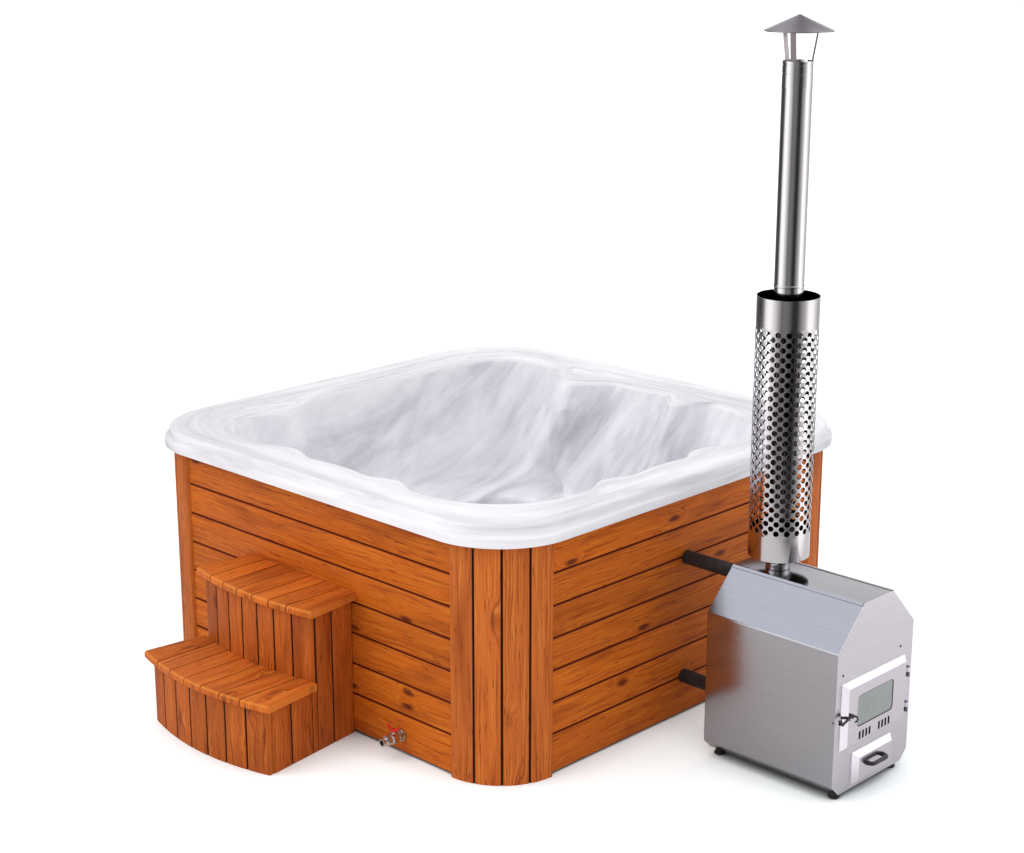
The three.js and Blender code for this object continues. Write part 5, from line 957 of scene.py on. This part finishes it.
# The dark colour paints the hinges' shade
shaded_hinge_steel = brushed_steel("shaded_dark_hinge_steel", "#59585c", 0.12, (90, 90, 90))
for hinge_name, z in [("upper", 0.372), ("lower", 0.237)]:
    knuckle = turned([(0.0005, z - 0.018), (0.005, z - 0.018), (0.006, z - 0.017), (0.006, z - 0.0006),
                      (0.0056, z - 0.0002), (0.0031, z - 0.0002), (0.0031, z + 0.0182),
                      (0.0046, z + 0.0184), (0.0046, z + 0.0206), (0.0034, z + 0.0222),
                      (0.0005, z + 0.0228)], "z", (1.862, 0.183, 0), 40)
    leaf = block((1.8523, 0.1803, z - 0.018), (1.8548, 0.195, z + 0.018))
    web = block((1.853, 0.1802, z - 0.0178), (1.8622, 0.1858, z - 0.002))
    hinge = piece(f"{hinge_name}_hinge", all_outward(knuckle, leaf, web), shaded_hinge_steel, "tub",
                  [f"{hinge_name}_door_hinge"], 35)
    softened(hinge, 0.0006)

# Door latch
# Hook latch of bright steel, coloured dark as painted shade: a flat arm that drops over the keeper, riveted to
# the door through a round boss, with a bent round grip that curls down and back to the arm.

shaded_latch_steel = brushed_steel("latch_steel_painted_shade", "#47454a", 0.14, (90, 90, 90))
arm = prism(np.array([(-0.1800, 0.3268), (-0.235, 0.310), (-0.235, 0.301), (-0.1800, 0.3172)]), 1.8727,
            1.8775, "x")
finger_back = block((1.8556, -0.2348, 0.3012), (1.8772, -0.2262, 0.3098))
finger = block((1.8556, -0.2348, 0.3012), (1.8612, -0.2142, 0.3098))
boss = turned([(0.0005, 1.8726), (0.0076, 1.8726), (0.008, 1.873), (0.008, 1.8805), (0.0068, 1.8824),
               (0.0005, 1.8828)], "x", (0, -0.18, 0.322), 40)
pin = turned([(0.0005, 1.8655), (0.0078, 1.8655), (0.0078, 1.8697), (0.0048, 1.8698), (0.0048, 1.8728),
              (0.0005, 1.8728)], "x", (0, -0.18, 0.322), 32)
grip_path = cubic((1.8788, -0.18, 0.322), (1.8921, -0.163, 0.3265), (1.8921, -0.1605, 0.300),
                  (1.8826, -0.172, 0.299), 28)
grip = swept(grip_path, 0.0034 + 0.0006 * np.cos(np.linspace(0, np.pi, 28)), 16)
latch = piece("hook_latch", all_outward(arm, finger_back, finger, boss, pin, grip), shaded_latch_steel, "latch",
              ["door_latch"], 35)
softened(latch, 0.0007)
dress(lit_plate_steel, "latch_keeper")

# Ash drawer handle and feet
# A bow handle of black plastic stands off the ash drawer's front. Four black rubber feet with threaded
# stems carry the furnace.

half_bow, stand, corner = 0.048, 1.8943, 0.018
bow_z, bow_y = 0.1065, -0.016
left_bend = cubic((1.8726, bow_y - half_bow, bow_z), (1.889, bow_y - half_bow, bow_z),
                  (stand, bow_y - half_bow + 0.0067, bow_z), (stand, bow_y - half_bow + corner, bow_z), 14)
bow_path = np.vstack([left_bend, (left_bend * (1, -1, 1) + (0, 2 * bow_y, 0))[::-1]])
foot_distance = np.minimum(np.arange(28), 27 - np.arange(28))
bow_radius = 0.0078 + 0.0014 * np.exp(-(foot_distance / 2) ** 2)
piece("bow_handle", outward(swept(bow_path, bow_radius, 24)), black_plastic, "drawer",
      ["ash_drawer_handle"], 40)

foot_profile = np.array([(0.4, 0), (18.5, 0), (20, 1.5), (20, 8.5), (18.6, 10), (15, 10.2), (15, 24.7),
                         (0.4, 24.7)]) / 1000
for foot_name, x, y in [("rear_left", 1.318, -0.186), ("rear_right", 1.318, 0.158),
                        ("front_left", 1.822, -0.186), ("front_right", 1.822, 0.158)]:
    piece(f"{foot_name}_rubber_foot", outward(turned(foot_profile, "z", (x, y, 0), 40)), black_rubber,
          "tub", [f"{foot_name}_foot"], 35)

# Flue pipes
# Thin stainless pipe: a beaded foot sleeve on the furnace's spigot, a narrow length, a cone up to the wide
# length inside the heat guard, and a wide upper length whose swaged end slips into it.

pipe_steel = brushed_steel("brushed_flue_steel", "#c9c6c8", 0.12, (420, 420, 2.5))
# Above the stove the pipe inside the guard is coloured dark, heat oxide and painted shade that keeps the
# guard's holes dark: full from 0.84 m to 1.66 m up
tree = pipe_steel.node_tree
above = add(tree, "SeparateXYZ", {0: add(tree, "TexCoord").outputs["Object"]}).outputs[2]
heat_tint_and_shade = maths(tree, "MULTIPLY", remap(tree, above, (0.76, 0.84)), remap(tree, above, (1.72, 1.66)))
tint_over(tree, heat_tint_and_shade, "#3b3634")
flue_x, flue_y = 1.42, -0.014
flue_at = (flue_x, flue_y, 0)
bead = lambda z, radius, size: [(radius, z - 4), (radius + size, z - 1.5), (radius + size, z + 1.5),
                                (radius, z + 4)]
lower_line = ([(37.5, 706.3), (42.5, 706.3), (44, 708.5), (44, 722)] + bead(730, 44, 1.4)
              + bead(745, 44, 1.4) + [(44, 768), (39, 776), (39, 930), (52, 985), (52, 1733), (50.5, 1733),
                                      (50.5, 985), (37.5, 930)])
piece("lower_flue_tube", outward(turned(np.array(lower_line) / 1000, "z", flue_at, 96, True)), pipe_steel,
      "tub", ["lower_flue_pipe"], 28)
upper_line = ([(48.7, 1688.3), (50.2, 1688.3), (50.2, 1733.2), (53.2, 1733.4), (53.6, 1735), (53.6, 1739.4),
               (52.8, 1741), (52, 1741.6)] + [(52, 2412), (52.7, 2414), (52.7, 2418), (52, 2420),
                                              (52, 2456.5), (50.8, 2457), (50.8, 2460), (52, 2460.5),
                                              (52, 2484.5), (50.8, 2485), (50.8, 2488), (52, 2488.5),
                                              (52, 2499.4), (51.6, 2500), (50.8, 2500), (50.5, 2499.4),
                                              (50.5, 1741.4), (48.7, 1733.4)])
piece("upper_flue_tube", outward(turned(np.array(upper_line) / 1000, "z", flue_at, 96, True)), pipe_steel,
      "tub", ["upper_flue_pipe"], 28)
dress(pipe_steel, "lower_guard_spacer", "upper_guard_spacer")

# Heat guard
# Sleeve of perforated stainless sheet round the hot pipe, with 42 staggered rows of round holes between
# two plain bands, a lapped seam and rivets.

guard_steel = brushed_steel("perforated_guard_steel", "#c3bfc1", 0.14, (420, 420, 2.5))
# The inside is dark with soot and heat tint, and with painted shade that keeps the holes dark
tree = guard_steel.node_tree
soot_and_shade = add(tree, "Attribute", attribute_name="inside").outputs["Fac"]
tint_over(tree, soot_and_shade, "#2e2a28")
guard_low, guard_high, hole_low, rows = 0.759, 1.702, 0.849, 42
row_pitch = (1.599 - hole_low) / (rows + 1)
# A lattice in thirds of half a column and of a row: every hole's rhombus touches its neighbours on it
thirds = np.array([(3, 0), (2, 1), (1, 2), (0, 3), (-1, 2), (-2, 1), (-3, 0), (-2, -1), (-1, -2), (0, -3),
                   (1, -2), (2, -1)])
centres = np.array([(column, row) for row in range(rows) for column in range(row % 2, 36, 2)])
cell_points = centres[:, None] * 3 + thirds
flat_points, cell_index = np.unique(np.stack([cell_points[..., 0] % 108, cell_points[..., 1]],
                                             -1).reshape(-1, 2), axis=0, return_inverse=True)
cell_index = cell_index.reshape(len(centres), 12)
turn_12 = np.arange(12) * np.pi / 6
hole_u = centres[:, :1] * 3 + 3 * 0.0105 / 0.0192 * np.cos(turn_12)
hole_z = hole_low + (centres[:, 1:] + 1) * row_pitch + 0.0105 * np.sin(turn_12)
lattice_z = hole_low + (flat_points[:, 1] / 3 + 1) * row_pitch
ring_u = np.arange(108)
edge_rows = [(guard_low, ring_u), (hole_low, ring_u), (hole_low + (rows + 1) * row_pitch, ring_u),
             (guard_high, ring_u)]
all_u = np.concatenate([flat_points[:, 0], hole_u.ravel()] + [u for _, u in edge_rows])
all_z = np.concatenate([lattice_z, hole_z.ravel()] + [np.full(108, z) for z, _ in edge_rows])
turns = all_u * 2 * np.pi / 108
skin = lambda radius: np.stack([flue_x + radius * np.cos(turns), flue_y + radius * np.sin(turns), all_z], 1)
hole_index = len(flat_points) + np.arange(len(centres) * 12).reshape(-1, 12)
guard_faces = np.stack([cell_index, np.roll(cell_index, -1, 1), np.roll(hole_index, -1, 1), hole_index],
                       -1).reshape(-1, 4).tolist()
edge_start = len(flat_points) + len(centres) * 12
lookup = {(int(u), int(v)): i for i, (u, v) in enumerate(flat_points)}
for row, edge, up in ((-1, edge_start + 108, False), (rows, edge_start + 216, True)):
    inward = -1 if up else 1
    apexes = range(0, 36, 2) if (row - (1 if up else -1)) % 2 == 0 else range(1, 36, 2)
    for apex in apexes:
        # From one apex down into the valley and up to the next, then back along the straight edge
        dip = [(3 * apex + k, 3 * row + inward * (k if k < 3 else 6 - k)) for k in range(7)]
        line = [lookup[(u % 108, v)] for u, v in dip]
        back = [edge + (3 * apex + k) % 108 for k in range(6, -1, -1)]
        guard_faces.append(line + back if not up else (line + back)[::-1])
for start in (edge_start, edge_start + 216):
    k = np.arange(108)
    after = (k + 1) % 108
    guard_faces += np.stack([start + k, start + after, start + 108 + after, start + 108 + k], 1).tolist()
# The inner skin is the same lattice turned about; walls round each hole and at both ends join the two
inner_start = len(all_u)
guard_faces += [[v + inner_start for v in face[::-1]] for face in guard_faces]
for ring, flip in [(ring, True) for ring in hole_index] + [(edge_start + k, False),
                                                           (edge_start + 324 + k, True)]:
    ring = ring if flip else ring[::-1]
    beside = np.roll(ring, -1)
    guard_faces += np.stack([ring, beside, beside + inner_start, ring + inner_start], 1).tolist()
guard_points = np.concatenate([skin(0.11), skin(0.1088)])
inside = np.concatenate([np.zeros(inner_start), np.ones(inner_start)])
piece("perforated_guard", outward((guard_points, guard_faces)), guard_steel, "tub", ["heat_guard"],
      40, {"inside": inside})


def about_flue(points, degrees):
    """Points turned about the upright axis and set on the flue's axis."""
    cosine, sine = math.cos(math.radians(degrees)), math.sin(math.radians(degrees))
    x, y, z = points.T
    return np.stack([flue_x + x * cosine - y * sine, flue_y + x * sine + y * cosine, z], 1)


seam_rivets = [turned(pan_head * (0.9, 0.5), "x", (0.1098, 0, z), 20) for z in (1.671, 0.79)]
seam_rivets = [(about_flue(points, -118), faces) for points, faces in seam_rivets]
piece("guard_rivets", all_outward(*seam_rivets), dark_rivet, "tub", [], 40)

# Rain cap
# Shallow cone spun from stainless sheet on three flat straps riveted inside the pipe's end. Rain and soot
# have dulled it to a warm grey.

cap_steel = brushed_steel("dulled_cap_steel", "#989193", 0.26, (2, 2, 900))
cap_line = [(0.6, 2650), (115.2, 2598.6), (115.8, 2597), (117, 2597), (117, 2599.9), (116.4, 2600.4),
            (9, 2648.9), (4, 2651.2), (0.6, 2652)]
cap_profile = np.array(cap_line) / 1000
cap_cone = turned(cap_profile, "z", flue_at, 128)
strap_line = np.array([(47.2, 2455), (49.2, 2455), (49.2, 2499.5), (68, 2618.5), (66, 2618.9),
                       (47.2, 2500.3)]) / 1000
strap, strap_faces = prism(strap_line, -0.01, 0.01, "y")
straps = [(about_flue(strap, degrees), strap_faces) for degrees in (-72, 46, 174)]
piece("spun_rain_cap", all_outward(cap_cone, *straps), cap_steel, "tub", ["rain_cap"], 24)

# Steps
# Free-standing unit of the same stained spruce: bowed risers of upright staves, splayed sides and two
# treads of seven boards with rounded noses.

steps_x, wall_y, splay = -0.059, -1.0, math.tan(math.radians(7.9))
half_at = lambda depth: 0.282 + splay * depth
tread_stain = stained_spruce("orange_stained_treads", "#953e08", "#cf681f", "#e08838", 0.6)
riser_stain = stained_spruce("orange_stained_risers", "#7d3206", "#b4591b", "#ca7028", 0.6, 3.6)


def tread(name, depth, bow, top, back_of, stands_for, seed):
    """Seven boards from the bowed front back to the line y = back_of(x). The seams run straight back, and
    beyond the last of them the outer boards take up the splay of the sides."""
    nose, length = depth + 0.022, 0.255
    seam = 2 * half_at(depth) * 5 / 14
    edges = [-half_at(nose) - 0.022 + 0.003] + [2 * half_at(depth) * (i / 7 - 0.5)
                                                for i in range(1, 7)] + [half_at(nose) + 0.022 - 0.003]
    blank = [board((edges[i] + hairline, edges[i + 1] - hairline), (0, length), 0.028,
                   (0.0034, 0.0042), (0.005, 0.009, 0.002, 0.001), 8, (i == 0, i == 6)) for i in range(7)]
    # The nose's upper edge is worn pale between the seams
    blank = [(points, faces, np.where((points[:, 1] < 0.007) & (points[:, 2] < 0.009) & (stain_and_shade < 0.001),
                                      -0.0013, stain_and_shade)) for points, faces, stain_and_shade in blank]

    def carry(across, along, depth_in):
        """Along runs from the nose to the back; its share of the length gives y between the two lines."""
        share = np.clip(across / (half_at(depth) + 0.022), -1, 1)
        front_y = -nose - bow * (1 - share**2)
        y = front_y + along / length * (back_of(across) - front_y)
        edge = half_at(-y) + 0.022
        beyond = np.maximum(np.abs(across) - seam, 0) / (abs(edges[0]) - seam)
        x = np.sign(across) * (np.minimum(np.abs(across), seam) + beyond * (edge - seam))
        return x + steps_x, y + wall_y, top - depth_in

    timber(name, blank, carry, [stands_for], tread_stain, seed)


def upper_riser_line(x):
    """Front line of the upper riser, and straight across beyond its ends."""
    share = np.clip(x / half_at(0.221), -1, 1)
    return -0.2214 - 0.038 * (1 - share**2)


tread("lower_tread_boards", 0.454, 0.056, 0.282, upper_riser_line, "lower_tread", 51)
tread("upper_tread_boards", 0.221, 0.038, 0.564, lambda x: -0.0004 + 0 * x, "upper_tread", 52)

for riser_name, depth, bow, top, seed in [("lower_riser", 0.454, 0.056, 0.2537, 53),
                                          ("upper_riser", 0.221, 0.038, 0.5357, 54)]:
    width = 2 * half_at(depth) / 7
    lows = [0.2545 if riser_name == "upper_riser" and i in (0, 6) else 0.0002 for i in range(7)]
    staves = [board((width * (i - 3.5) + hairline, width * (i - 2.5) - hairline), (lows[i], top), 0.0195,
                    (0.0054, 0.0066), steps=4, free=(i == 0, i == 6)) for i in range(7)]

    def bowed(across, along, depth_in, depth=depth, bow=bow):
        """Staves: across runs along the bow and along is height."""
        share = across / half_at(depth)
        y = wall_y - (depth - depth_in) - bow * (1 - share**2)
        return steps_x + share * (half_at(depth) - 0.5 * depth_in), y, along

    timber(f"{riser_name}_staves", staves, bowed, [riser_name], riser_stain, seed)

for side_name, side in [("left", -1), ("right", 1)]:
    runs = [(0.0005, 0.1128, 0.5356), (0.1132, 0.2005, 0.5356), (0.2008, 0.2258, 0.2536),
            (0.2262, 0.3388, 0.2536), (0.3392, 0.4336, 0.2536)]
    boards = [board((low, high), (0.0002, top), 0.0195, (0.0054, 0.0066) if high - low > 0.05
                    else (0.0006, 0.0006), free=(low < 0.01, high > 0.43)) for low, high, top in runs]

    def on_slope(across, along, depth_in, side=side):
        """Side boards: across is the distance from the tub and along is height."""
        return steps_x + side * (half_at(across) - depth_in), wall_y - across, along

    timber(f"{side_name}_side_boards", boards, on_slope, [f"{side_name}_step_side"], riser_stain, 55 + side)
